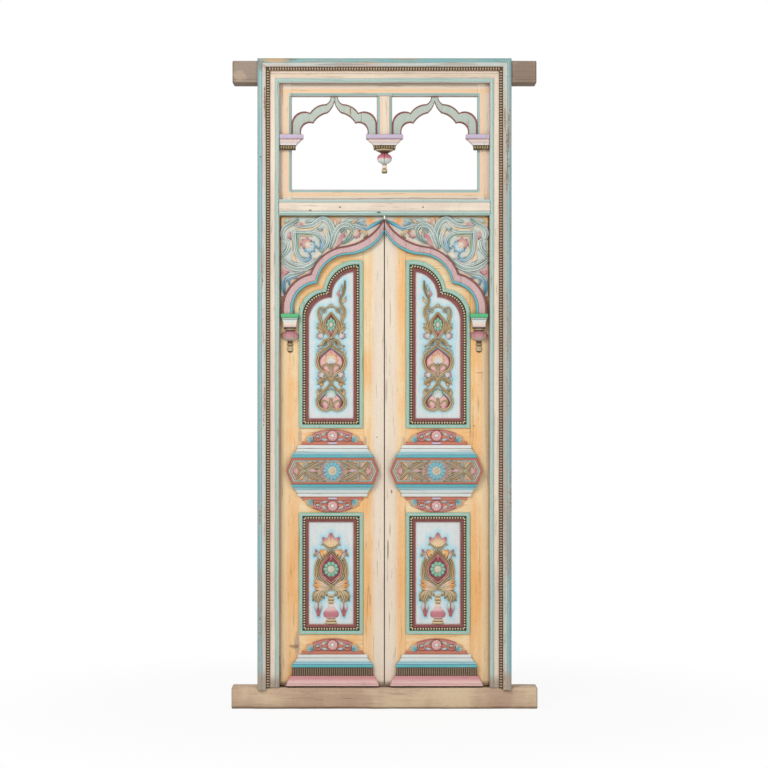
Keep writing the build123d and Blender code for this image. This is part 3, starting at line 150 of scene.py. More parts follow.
@dataclass
class Shell:
    """A closed skin in millimetres, with its paint at each point and how much soiling and painted shade darken it
    there.
    """

    points: Array
    faces: list[Array]
    tint: Array
    grime: Array

    def volume(self) -> float:
        """The space enclosed, as the sum of the tetrahedra from the origin to each triangle.

        Returns:
            Cubic millimetres, below nought where the faces point inwards.
        """
        total = 0.0
        for block in self.faces:
            for k in range(1, block.shape[1] - 1):
                a, b, c = (self.points[block[:, n]] for n in (0, k, k + 1))
                total += float(np.einsum("ij,ij->", a, np.cross(b, c))) / 6
        return total

    def outward(self) -> Shell:
        """The same skin with its faces pointing outwards.

        Returns:
            This skin, its faces turned round where they pointed inwards.
        """
        if self.volume() < 0:
            self.faces = [block[:, ::-1] for block in self.faces]
        return self

    def mirrored(self, about: float = 0.0) -> Shell:
        """The skin reflected across an upright plane: X becomes twice the plane's place less X.

        Args:
            about: Where the plane stands on X.

        Returns:
            A new skin, its faces still pointing outwards.
        """
        points = self.points * (-1, 1, 1) + (2 * about, 0, 0)
        return Shell(points, [block[:, ::-1] for block in self.faces], self.tint, self.grime)


def joined(shells: list[Shell]) -> Shell:
    """Several skins as one set of arrays, each skin's face numbers raised by the points before it.

    Args:
        shells: The skins.

    Returns:
        One skin of many closed parts.
    """
    starts = np.cumsum([0] + [len(s.points) for s in shells[:-1]])
    faces = [block + start for s, start in zip(shells, starts) for block in s.faces]
    return Shell(
        np.concatenate([s.points for s in shells]),
        faces,
        np.concatenate([s.tint for s in shells]),
        np.concatenate([s.grime for s in shells]),
    )


def tube(
    rings: Array, tint: Array, grime: Array | float, looped: bool = False, caps: tuple[Array, Array] | None = None
) -> Shell:
    """Joins rings of points in order, and closes the two ends on a point or on each other.

    Args:
        rings: Points, as rows by columns by 3. Each row is a closed ring.
        tint: Linear colours that spread over rows and columns.
        grime: From 0, clean, to 1, darkest, the soiling and the painted shade in hollows and at feet, spread the same
            way.
        looped: Whether the last ring joins the first.
        caps: The points that the end rings close on, or None for their middles.

    Returns:
        A closed skin.
    """
    rows, columns = rings.shape[:2]
    number = np.arange(rows * columns).reshape(rows, columns)
    lower = number if looped else number[:-1]
    upper = np.roll(number, -1, axis=0)[: len(lower)]
    corners = (lower, np.roll(lower, -1, 1), np.roll(upper, -1, 1), upper)
    faces = [np.stack(corners, -1).reshape(-1, 4)]
    points = rings.reshape(-1, 3)
    tints = np.broadcast_to(tint, (rows, columns, 3)).reshape(-1, 3)
    grime_and_shade_values = np.broadcast_to(grime, (rows, columns)).reshape(-1)
    if not looped:
        ends = caps if caps is not None else (rings[0].mean(0), rings[-1].mean(0))
        first, last = number[0], number[-1]
        near, far = rows * columns, rows * columns + 1
        faces.append(np.stack([np.roll(first, -1), first, np.full(columns, near)], -1))
        faces.append(np.stack([last, np.roll(last, -1), np.full(columns, far)], -1))
        points = np.vstack([points, ends])
        tints = np.vstack([tints, tints[0], tints[-1]])
        grime_and_shade_values = np.append(grime_and_shade_values, [grime_and_shade_values[0], grime_and_shade_values[-1]])
    return Shell(points, faces, tints, grime_and_shade_values).outward()


def repeated(unit: Shell, places: Array, turns: Array | float = 0.0) -> Shell:
    """One small skin set at many places: its points turned about Y, then moved, as one broadcast sum.

    Args:
        unit: The skin, drawn about the origin.
        places: Where each copy goes, as rows of X, Y and Z.
        turns: Each copy's turn in radians, from X towards Z.

    Returns:
        One skin of many closed parts.
    """
    count, size = len(places), len(unit.points)
    angle = np.broadcast_to(turns, count)
    c, s = np.cos(angle)[:, None], np.sin(angle)[:, None]
    x, y, z = unit.points.T
    moved = np.stack([c * x - s * z, np.broadcast_to(y, (count, size)), s * x + c * z], -1)
    points = (moved + places[:, None]).reshape(-1, 3)
    shift = (np.arange(count) * size)[:, None, None]
    faces = [(block + shift).reshape(-1, block.shape[1]) for block in unit.faces]
    return Shell(points, faces, np.tile(unit.tint, (count, 1)), np.tile(unit.grime, count))


def blend(low: Array, high: Array, share: Array) -> Array:
    """Colours part of the way from one to another: low plus share times their difference."""
    return low + (high - low) * np.asarray(share)[..., None]


def eased(share: Array) -> Array:
    """A smooth step: three squares less two cubes of the share, held between 0 and 1."""
    t = np.clip(share, 0, 1)
    return t * t * (3 - 2 * t)


def ripple(points: Array, wave: float) -> Array:
    """A slow, uneven swell from -1 to 1: the mean of three sines of slanting sums of the places.

    Args:
        points: Places in millimetres, with 3 in the last direction.
        wave: The swell's rough length in millimetres.

    Returns:
        One value for each place.
    """
    slants = np.array([[1.0, 0.7, 0.3], [-0.4, 1.1, 0.8], [0.6, -0.5, 1.3]]) * 2 * math.pi / wave
    return np.sin(points @ slants.T + np.array([0.4, 2.1, 4.4])).mean(-1)


# ---------------------------------------------------------------- lines


def smooth_line(points: tuple[Point, ...], per_span: int = 6) -> Array:
    """A curve through points: the Catmull-Rom cubic of each four neighbours, at equal steps of its own measure.

    Args:
        points: The places that it passes.
        per_span: Steps from one place to the next.

    Returns:
        Places along the curve.
    """
    p = np.asarray(points, float)
    if len(p) == 2:
        p = np.linspace(p[0], p[1], 3)
    ends = np.vstack([2 * p[0] - p[1], p, 2 * p[-1] - p[-2]])
    a, b, c, d = (ends[k : len(p) - 1 + k, None] for k in range(4))
    t = np.linspace(0, 1, per_span, endpoint=False)[None, :, None]
    cubic = 2 * b + (c - a) * t + (2 * a - 5 * b + 4 * c - d) * t**2 + (3 * b - a - 3 * c + d) * t**3
    return np.vstack([0.5 * cubic.reshape(-1, p.shape[1]), p[-1:]])


def arc(centre: Point, start: Point, end: Point, steps: int) -> Array:
    """The shorter arc round a centre: the angle and the radius both go evenly from start to end.

    Args:
        centre: The middle of the circle.
        start: Where the arc begins.
        end: Where it ends.
        steps: How many steps it is cut into.

    Returns:
        Places along the arc, both ends among them.
    """
    a, b = np.subtract(start, centre), np.subtract(end, centre)
    first = math.atan2(a[1], a[0])
    sweep = (math.atan2(b[1], b[0]) - first + math.pi) % (2 * math.pi) - math.pi
    t = np.linspace(0, 1, steps + 1)
    angle, radius = first + sweep * t, np.hypot(*a) * (1 - t) + np.hypot(*b) * t
    return np.stack([centre[0] + radius * np.cos(angle), centre[1] + radius * np.sin(angle)], -1)


def arc_through(start: Point, through: Point, end: Point, steps: int) -> Array:
    """The arc by way of a third point, round the middle of the circle through all three.

    Args:
        start: Where the arc begins.
        through: A point on the way.
        end: Where it ends.
        steps: How many steps it is cut into.

    Returns:
        Places along the arc, both ends among them.
    """
    (ax, az), (bx, bz), (cx, cz) = start, through, end
    d = 2 * (ax * (bz - cz) + bx * (cz - az) + cx * (az - bz))
    a, b, c = ax * ax + az * az, bx * bx + bz * bz, cx * cx + cz * cz
    x = (a * (bz - cz) + b * (cz - az) + c * (az - bz)) / d
    z = (a * (cx - bx) + b * (ax - cx) + c * (bx - ax)) / d
    return arc((x, z), start, end, steps)


def crossing(centre_a: Point, radius_a: float, centre_b: Point, radius_b: float) -> Point:
    """The upper crossing of two circles: along the line of their centres, then squarely off it.

    Args:
        centre_a: The first centre, on the left.
        radius_a: The first radius.
        centre_b: The second centre.
        radius_b: The second radius.

    Returns:
        The place where they cross.
    """
    dx, dz = centre_b[0] - centre_a[0], centre_b[1] - centre_a[1]
    apart = math.hypot(dx, dz)
    along = (radius_a**2 - radius_b**2 + apart**2) / (2 * apart)
    away = math.sqrt(max(0.0, radius_a**2 - along**2))
    return (
        centre_a[0] + (dx * along - dz * away) / apart,
        centre_a[1] + (dz * along + dx * away) / apart,
    )


def standing(places: Array, y: float) -> Array:
    """Flat places, as X and Z, set at a depth."""
    return np.insert(places, 1, y, axis=1)


def run(*corners: Point, steps: int = 8) -> Array:
    """Straight stretches from corner to corner, each cut into equal steps, with the last corner left off.

    Args:
        corners: The places to pass.
        steps: How many steps each stretch is cut into.

    Returns:
        Places along the stretches.
    """
    c = np.asarray(corners, float)
    t = np.linspace(0, 1, steps, endpoint=False)[None, :, None]
    return (c[:-1, None] * (1 - t) + c[1:, None] * t).reshape(-1, 2)


def spaced(line: Array, pitch: float) -> tuple[Array, Array]:
    """Places at an even pitch along a line, found by its length so far, and the line's angle at each.

    Args:
        line: Places along the line.
        pitch: The wanted step in millimetres.

    Returns:
        The places, and the angles from X towards Z in radians.
    """
    step = np.diff(line, axis=0)
    length = np.hypot(*step.T)
    so_far = np.concatenate([[0], np.cumsum(length)])
    count = max(1, round(so_far[-1] / pitch))
    at = (np.arange(count) + 0.5) * so_far[-1] / count
    places = np.stack([np.interp(at, so_far, line[:, k]) for k in range(2)], -1)
    index = np.clip(np.searchsorted(so_far, at) - 1, 0, len(step) - 1)
    return places, np.arctan2(step[index, 1], step[index, 0])


# ---------------------------------------------------------------- carved shapes


class Cut(Enum):
    """A carved stroke's height across it, from one edge to the other, as shares of its full rise."""

    DOUBLE = (0.3, 0.88, 1.0, 0.5, 1.0, 0.88, 0.3)
    LEAF = (0.35, 0.85, 1.0, 0.7, 1.0, 0.85, 0.35)
    ROUND = (0.15, 0.72, 0.95, 1.0, 0.95, 0.72, 0.15)
    TRIPLE = (0.3, 0.85, 0.92, 0.5, 1.0, 0.5, 0.92, 0.85, 0.3)


@dataclass(frozen=True)
class Stroke:
    """A carved ribbon or leaf: a smooth line, its widths along it and its colours."""

    line: tuple[Point, ...]
    widths: tuple[float, ...]
    coat: Coat
    tip: Coat | None = None
    cut: Cut = Cut.DOUBLE
    rise: float = 8.0

    def path(self) -> Array:
        """Places along the stroke's middle."""
        return smooth_line(self.line)

    def widened(self, fullness: float) -> Stroke:
        """The same stroke, its widths multiplied."""
        return replace(self, widths=tuple(width * fullness for width in self.widths))

    def shell(self, seat: float) -> Shell:
        """The stroke's skin: its section is set square to the line, scaled by the width there.

        Args:
            seat: The Y of the face that it stands on.

        Returns:
            A closed skin, its back a little inside that face.
        """
        path = self.path()
        t = np.linspace(0, 1, len(path))
        half = np.interp(t, np.linspace(0, 1, len(self.widths)), self.widths) / 2
        way = np.gradient(path, axis=0)
        way /= np.maximum(np.hypot(*way.T), 1e-9)[:, None]
        height = np.array(self.cut.value)
        across = np.linspace(-1, 1, len(height))
        lift = self.rise * (0.45 + 0.55 * eased(half / (0.8 * half.max())))
        u = path[:, :1] - way[:, 1:] * across * half[:, None]
        v = path[:, 1:] + way[:, :1] * across * half[:, None]
        front = np.stack([u, seat - lift[:, None] * height, v], -1)
        back = front[:, [-1, 0]].copy()
        back[..., 1] = seat + SUNK
        tint = blend(self.coat.light, (self.tip or self.coat).light, eased(t * 1.3 - 0.3))[:, None]
        # Lower places on the stroke, its edges and its grooves, get more: soiling and painted shade.
        grime = np.append(1 - height, [1.0, 1.0])[None]
        return tube(np.concatenate([front, back], 1), tint, grime)


@dataclass(frozen=True)
class Fan:
    """Leaflets spread from one place, the middle one longest."""

    base: Point
    aim: float
    spread: float
    count: int
    reach: float
    width: float
    coat: Coat
    tip: Coat
    rise: float = 8.0

    def strokes(self) -> list[Stroke]:
        """The leaflets: each angle is the aim plus its share of the spread, each length falls off by a cosine.

        Returns:
            One leaf stroke for each leaflet.
        """
        shares = np.linspace(-0.5, 0.5, self.count)
        made = []
        for share in shares:
            angle = math.radians(self.aim + self.spread * share)
            reach = self.reach * (0.72 + 0.28 * math.cos(math.pi * share))
            bend = math.radians(self.spread * share * 0.25)
            middle = (
                self.base[0] + 0.55 * reach * math.cos(angle - bend),
                self.base[1] + 0.55 * reach * math.sin(angle - bend),
            )
            end = (self.base[0] + reach * math.cos(angle), self.base[1] + reach * math.sin(angle))
            widths = (self.width * 0.35, self.width, self.width * 0.9, self.width * 0.15)
            made.append(Stroke((self.base, middle, end), widths, self.coat, self.tip, Cut.LEAF, self.rise))
        return made


@dataclass(frozen=True)
class Bloom:
    """A round flower with a domed heart."""

    place: Point
    radius: float
    petals: int
    coat: Coat
    heart: Coat
    rise: float = 8.0
    heart_share: float = 0.42
    squash: float = 1.0

    def shell(self, seat: float) -> Shell:
        """The flower's skin on a grid of angle and radius.

        The outline swells and narrows with the cosine of the petals' angle. The height is a half sine from the
        heart to the rim times the same cosine, and inside the heart it is a dome.

        Args:
            seat: The Y of the face that it stands on.

        Returns:
            A closed skin.
        """
        angle = np.linspace(0, 2 * math.pi, 8 * self.petals, endpoint=False)[None]
        share = np.array([1.0, 1.0, 0.93, 0.8, 0.64, 0.5, 0.43, 0.42, 0.36, 0.26, 0.14])[:, None]
        share = np.where(share <= 0.43, share * self.heart_share / 0.43, share)
        lobe = np.abs(np.cos(self.petals * angle / 2)) ** 0.6
        ring = np.where(share > self.heart_share, self.radius * (0.84 + 0.16 * lobe), self.radius) * share
        run_out = (share - self.heart_share) / (1 - self.heart_share)
        petal = 0.25 + 0.65 * np.sin(math.pi * np.clip(0.15 + 0.8 * run_out, 0, 1)) * (0.35 + 0.65 * lobe)
        dome = 0.35 + 0.65 * np.sqrt(np.clip(1 - (share / self.heart_share) ** 2, 0, 1))
        height = np.where(share > self.heart_share, petal, dome)
        height[0] = -SUNK / self.rise
        x = self.place[0] + ring * np.cos(angle)
        z = self.place[1] + ring * np.sin(angle) * self.squash
        rings = np.stack([x, seat - self.rise * height, z], -1)
        inner = (share <= self.heart_share)[..., None]
        tint = np.where(inner, self.heart.light, self.coat.light)
        # Low places between the petals and round the heart get more: soiling and painted shade.
        grime = np.clip(np.where(inner[..., 0], 0.9 - dome, 1.05 - height), 0, 1)
        top = np.array([self.place[0], seat - self.rise, self.place[1]])
        foot = np.array([self.place[0], seat + SUNK, self.place[1]])
        return tube(rings, np.broadcast_to(tint, (*rings.shape[:2], 3)), grime, caps=(foot, top))


@dataclass(frozen=True)
class Field:
    """A filled patch between ribbons, slightly crowned."""

    rim: tuple[Point, ...]
    coat: Coat
    edge: Coat
    rise: float = 2.5

    def shell(self, seat: float) -> Shell:
        """The patch's skin: its rim drawn in towards the middle in steps, while the height follows a quarter sine.

        Args:
            seat: The Y of the face that it stands on.

        Returns:
            A closed skin.
        """
        rim = smooth_line((*self.rim, self.rim[0]), 4)[:-1]
        middle = rim.mean(0)
        share = np.array([1.0, 1.0, 0.85, 0.6, 0.3])[:, None]
        height = np.array([-SUNK / self.rise, 0.15, 0.6, 0.9, 1.0])[:, None]
        flat = middle + (rim[None] - middle) * share[..., None]
        depth = np.broadcast_to(seat - self.rise * height, flat.shape[:2])
        rings = np.stack([flat[..., 0], depth, flat[..., 1]], -1)
        tint = blend(self.coat.light, self.edge.light, eased((share - 0.55) / 0.45))
        # Darker towards the rim, where the patch is low: soiling and painted shade.
        return tube(rings, tint, np.clip(0.55 - height * 0.5, 0, 1))


Shape = Stroke | Fan | Bloom | Field


@dataclass(frozen=True)
class Ornament:
    """Carved shapes about a middle line: the paired ones are mirrored across it, the single ones stand alone."""

    paired: tuple[Shape, ...] = ()
    single: tuple[Shape, ...] = ()
    fullness: float = 1.0

    def spread(self, shapes: tuple[Shape, ...]) -> list[Stroke | Bloom | Field]:
        """The shapes, with each fan as its leaflets and every ribbon widened by the ornament's fullness."""
        parts = [part for shape in shapes for part in (shape.strokes() if isinstance(shape, Fan) else [shape])]
        return [part.widened(self.fullness) if isinstance(part, Stroke) else part for part in parts]

    def shells(self, x: float, z: float, seat: float, up: float = 1.0) -> list[Shell]:
        """Every skin of the ornament, at its place.

        Args:
            x: Where its middle line stands.
            z: Where its foot stands.
            seat: The Y of the face that carries it.
            up: 1 as drawn, or -1 turned upside down.

        Returns:
            Closed skins.
        """
        paired = [part.shell(seat) for part in self.spread(self.paired)]
        whole = paired + [shell.mirrored() for shell in paired]
        whole += [part.shell(seat) for part in self.spread(self.single)]
        for shell in whole:
            shell.points = shell.points * (1, 1, up) + (x, 0, z)
            shell.outward()
        return whole

    def trace(self, x: float, z: float) -> Array:
        """Places along every ribbon and leaf, both sides of the middle line.

        Args:
            x: Where the middle line stands.
            z: Where its foot stands.

        Returns:
            The places, as rows of X and Z.
        """
        paired, single = (
            [part.path()[::2] for part in self.spread(shapes) if isinstance(part, Stroke)]
            for shapes in (self.paired, self.single)
        )
        lines = np.vstack(paired)
        return np.vstack([lines, lines * (-1, 1), *single]) + (x, z)


def bead(length: float, width: float, height: float, tip: Coat, foot: Coat) -> Shell:
    """A small oval bead facing the front: three rings of eight points that shrink by a cosine as they rise by a sine.

    Args:
        length: Along X, in millimetres.
        width: Along Z.
        height: Towards the front.
        tip: The colour on top.
        foot: The colour round its foot, a painted shade where the bead meets its bed.

    Returns:
        A closed skin of a few dozen faces.
    """
    turn = np.linspace(0, 2 * math.pi, 8, endpoint=False)[None]
    lift = np.radians([0.0, 38.0, 66.0])[:, None]
    x, z = np.cos(turn) * np.cos(lift) * length / 2, np.sin(turn) * np.cos(lift) * width / 2
    y = np.broadcast_to(-height * np.sin(lift), x.shape)
    # Dark at the foot and light on top: painted shade round the bead's foot, with soiling.
    tint = blend(foot.light, tip.light, eased(np.sin(lift) * 1.3))
    caps = (np.array([0, 0, 0.0]), np.array([0, -height, 0.0]))
    return tube(np.stack([x, y, z], -1), tint, 1 - np.sin(lift), caps=caps)


def reed(width: float, height: float, tall: float, tip: Coat, foot: Coat) -> Shell:
    """An upright half-round reed: a half circle of points at its foot and at its top.

    Args:
        width: Across, along X.
        height: Towards the front.
        tall: Along Z, from 0 up.
        tip: The colour along its front.
        foot: The colour in the gap beside it, a painted shade there.

    Returns:
        A closed skin of a few dozen faces.
    """
    turn = np.linspace(0, math.pi, 7)
    x, y = np.cos(turn) * width / 2, -np.sin(turn) * height
    rings = np.stack([np.stack([x, y, np.full(7, z)], -1) for z in (0.0, tall)])
    # The foot colour and the darkening in the gaps beside the reed are painted shade, with soiling.
    tint = blend(foot.light, tip.light, eased(np.sin(turn) * 1.2))[None]
    return tube(rings, tint, (1 - np.sin(turn))[None])


def columns(rows: list[Row]) -> tuple[Array, ...]:
    """The half widths, depths, heights, colours, and soiling with painted shade, of moulded rows, each as one column.
    """
    sizes = np.array([row[:3] for row in rows], float).T[..., None]
    return (*sizes, np.array([row[3].light for row in rows])[:, None], np.array([row[4] for row in rows])[:, None])


def stepped(rows: list[Row], middle: float, back: float = LEAF_SEAT, face: float = LEAF_FACE,
            ease: float = 1.6) -> Shell:
    """A block moulded on its front and both ends: each row is a three-sided ring with eased corners.

    Args:
        rows: Half width, depth in front of the face, height, colour, and soiling with painted shade, from one end to
            the other.
        middle: Where the block's middle stands on X.
        back: The Y of its flat back.
        face: The Y that the depths are counted from.
        ease: How much is taken off each front corner.

    Returns:
        A closed skin.
    """
    half, depth, z, tint, grime = columns(rows)
    front = face - depth
    wall = np.full_like(front, back)
    signs = np.array([[-1, -1, -1, 1, 1, 1]])
    pull = np.array([[0, 0, ease, ease, 0, 0]])
    x = middle + signs * (half - pull)
    y = np.concatenate([wall, front + ease, front, front, front + ease, wall], 1)
    rings = np.stack([x, y, np.broadcast_to(z, x.shape)], -1)
    return tube(rings, tint, grime)


def ball(radius: float, half_height: float, top: float, first: float) -> list[Point]:
    """A ball's radii and heights at thirteen equal angles, from the first angle to near its foot."""
    return [(radius * math.sin(a), top - half_height * (1 - math.cos(a))) for a in np.linspace(first, 2.75, 13)]


def turned(
    profile: list[tuple[float, float, Coat]],
    place: tuple[float, float],
    front_only: bool = False,
    lobes: int = 0,
    lobe_depth: float = 0.0,
    lobe_rows: tuple[int, int] = (0, 0),
) -> Shell:
    """A turned shape about an upright axis: the radius at each height, swept round in equal angles.

    Args:
        profile: Radius, height and colour, from top to bottom.
        place: The axis, on X and Y.
        front_only: Whether only the half in front of the axis is made.
        lobes: How many carved lobes go round.
        lobe_depth: How far the gaps between lobes sink, as a share of the radius.
        lobe_rows: The first row with lobes and the row after the last.

    Returns:
        A closed skin.
    """
    radius = np.array([p[0] for p in profile])[:, None]
    height = np.array([p[1] for p in profile])[:, None]
    tint = np.array([p[2].light for p in profile])[:, None]
    end, steps = (math.pi, 25) if front_only else (2 * math.pi, 40)
    angle = math.pi + np.linspace(0, end, steps, endpoint=front_only)[None]
    active = np.zeros_like(radius)
    active[slice(*lobe_rows)] = 1
    groove = (1 - np.abs(np.sin(lobes * angle / 2)) ** 0.5) * active
    swept = radius * (1 - lobe_depth * groove)
    x, y = place[0] + swept * np.cos(angle), place[1] + swept * np.sin(angle)
    rings = np.stack([x, y, np.broadcast_to(height, x.shape)], -1)
    slope = np.abs(np.gradient(radius[:, 0]))[:, None]
    # Darkest in the grooves between the lobes: soiling and painted shade.
    grime = np.clip(0.8 * groove + 0.25 - 0.02 * slope, 0, 1)
    return tube(rings, tint, grime)


def ruled(
    outer: Array, inner: Array, profile: list[tuple[float, float, Coat, float]], back: float, looped: bool = False
) -> Shell:
    """A moulding carried between two lines: each place is the outer point plus a share of the way to the inner one.

    Args:
        outer: Places along the outer line.
        inner: The matching places along the inner line.
        profile: Share of the way in, Y, colour, and soiling with painted shade, from the outer edge to the inner.
        back: The Y of the flat back.
        looped: Whether the lines close on themselves.

    Returns:
        A closed skin.
    """
    share = np.array([p[0] for p in profile] + [profile[-1][0], profile[0][0]])
    depth = np.array([p[1] for p in profile] + [back, back])
    tint = np.array([p[2].light for p in profile] + [profile[-1][2].light, profile[0][2].light])
    grime = np.array([p[3] for p in profile] + [1.0, 1.0])
    flat = outer[:, None] + (inner - outer)[:, None] * share[None, :, None]
    y = np.broadcast_to(depth, flat.shape[:2])
    return tube(np.stack([flat[..., 0], y, flat[..., 1]], -1), tint[None], grime[None], looped)


# ---------------------------------------------------------------- paint


class Wire:
    """A shader socket that takes part in Python sums."""

    def __init__(self, graph: Graph, socket: bpy.types.NodeSocket) -> None:
        """Keeps the graph and the socket."""
        self.graph, self.socket = graph, socket

    def maths(self, operation: str, *values: Wire | float) -> Wire:
        """A Math node on the values given."""
        return self.graph.add("ShaderNodeMath", {"operation": operation}, dict(enumerate(values)))

    def __add__(self, other: Wire | float) -> Wire:
        """The sum."""
        return self.maths("ADD", self, other)

    def __sub__(self, other: Wire | float) -> Wire:
        """The difference."""
        return self.maths("SUBTRACT", self, other)

    def __rsub__(self, other: Wire | float) -> Wire:
        """The difference from a number."""
        return self.maths("SUBTRACT", other, self)

    def __mul__(self, other: Wire | float) -> Wire:
        """The product."""
        return self.maths("MULTIPLY", self, other)

    __radd__ = __add__

    def size(self) -> Wire:
        """The value without its sign."""
        return self.maths("ABSOLUTE", self)

    def most(self, other: Wire | float) -> Wire:
        """The larger of two values."""
        return self.maths("MAXIMUM", self, other)

    def step(self, low: float, high: float) -> Wire:
        """A smooth step from 0 at low to 1 at high."""
        settings = {"interpolation_type": "SMOOTHSTEP"}
        return self.graph.add("ShaderNodeMapRange", settings, {0: self, 1: low, 2: high, 3: 0.0, 4: 1.0})


class Graph:
    """The nodes of a material or of the sky, built up by calls."""

    def __init__(self, owner: bpy.types.Material | bpy.types.World) -> None:
        """Empties the owner's nodes.

        Args:
            owner: The material or sky that the nodes are for.
        """
        owner.use_nodes = True
        self.owner, self.tree = owner, owner.node_tree
        self.tree.nodes.clear()

    def add(self, kind: str, settings: dict, inputs: dict, output: int | str = 0) -> Wire:
        """Adds one node.

        Args:
            kind: The node's type.
            settings: Its own settings, set first. Stops are a ramp's places and colours.
            inputs: Values or wires for its sockets, by number or name.
            output: Which of its sockets to give back.

        Returns:
            The chosen output.
        """
        node = self.tree.nodes.new(kind)
        for key, value in settings.items():
            if key == "stops":
                ramp = node.color_ramp
                while len(ramp.elements) < len(value):
                    ramp.elements.new(0.5)
                for element, (place, coat) in zip(ramp.elements, value):
                    element.position, element.color = place, (*coat.light, 1)
            else:
                setattr(node, key, value)
        for key, value in inputs.items():
            if isinstance(value, Wire):
                self.tree.links.new(value.socket, node.inputs[key])
            else:
                node.inputs[key].default_value = (*value.light, 1) if isinstance(value, Coat) else value
        outputs = node.outputs
        return Wire(self, outputs[output]) if len(outputs) else None

    def mix(self, share: Wire | float, low: Wire | Coat, high: Wire | Coat, mode: str = "MIX") -> Wire:
        """A Mix node on two colours."""
        settings = {"data_type": "RGBA", "blend_type": mode, "clamp_factor": True}
        return self.add("ShaderNodeMix", settings, {0: share, 6: low, 7: high}, 2)

    def noise(self, place: Wire, scale: tuple[float, float, float], detail: float = 3.0, rough: float = 0.55) -> Wire:
        """Noise on a place stretched differently each way.

        Args:
            place: The place to read.
            scale: How many waves to a metre along X, Y and Z.
            detail: How many finer layers are added.
            rough: How strong they are.

        Returns:
            A value about one half.
        """
        spread = self.add("ShaderNodeVectorMath", {"operation": "MULTIPLY"}, {0: place, 1: scale})
        return self.add("ShaderNodeTexNoise", {},
                        {"Vector": spread, "Scale": 1.0, "Detail": detail, "Roughness": rough})


class Way(Enum):
    """A direction that grain runs in, as a stretch of X, Y and Z."""

    ACROSS = (0.045, 1.0, 1.0)
    UP = (1.0, 1.0, 0.045)

    def scale(self, waves: float) -> tuple[float, float, float]:
        """Waves to a metre each way, drawn out along the grain."""
        return tuple(waves * k for k in self.value)


class Measure(Enum):
    """What a painted band is measured by."""

    OUT = 0
    DEPTH = 1
    HEIGHT = 2


@dataclass(frozen=True)
class Band:
    """A painted stretch between two places, its edges a little uneven."""

    measure: Measure
    start: float
    end: float
    coat: Coat
    soft: float = 1.5
    strength: float = 1.0


@dataclass(frozen=True)
class Mark:
    """A stain, crack or nail hole at one place on the front, fading out at its half width and half height."""

    x: float
    z: float
    half_width: float
    half_height: float
    coat: Coat = UMBER
    strength: float = 0.9


@dataclass(frozen=True)
class Noises:
    """The uneven values that old paint is made from, each about one half, and the place that they are read at."""

    place: Wire
    fibre: Wire
    streak: Wire
    blotch: Wire
    patch: Wire
    flake: Wire
    shake: Wire

    @classmethod
    def read(cls, g: Graph, grain: Way) -> Noises:
        """Adds the noise nodes.

        Args:
            g: The nodes to add to.
            grain: The way that the wood's grain runs.

        Returns:
            The values.
        """
        place = g.add("ShaderNodeTexCoord", {}, {}, "Object")
        return cls(
            place,
            fibre=g.noise(place, grain.scale(waves=420.0), detail=5.0, rough=0.65),
            streak=g.noise(place, grain.scale(waves=60.0)),
            blotch=g.noise(place, (5.0, 5.0, 3.0)),
            patch=g.noise(place, grain.scale(waves=46.0), detail=6.0, rough=0.7),
            flake=g.noise(place, (150.0, 150.0, 120.0), detail=4.0, rough=0.6),
            shake=g.noise(place, grain.scale(waves=170.0), detail=4.0, rough=0.6),
        )


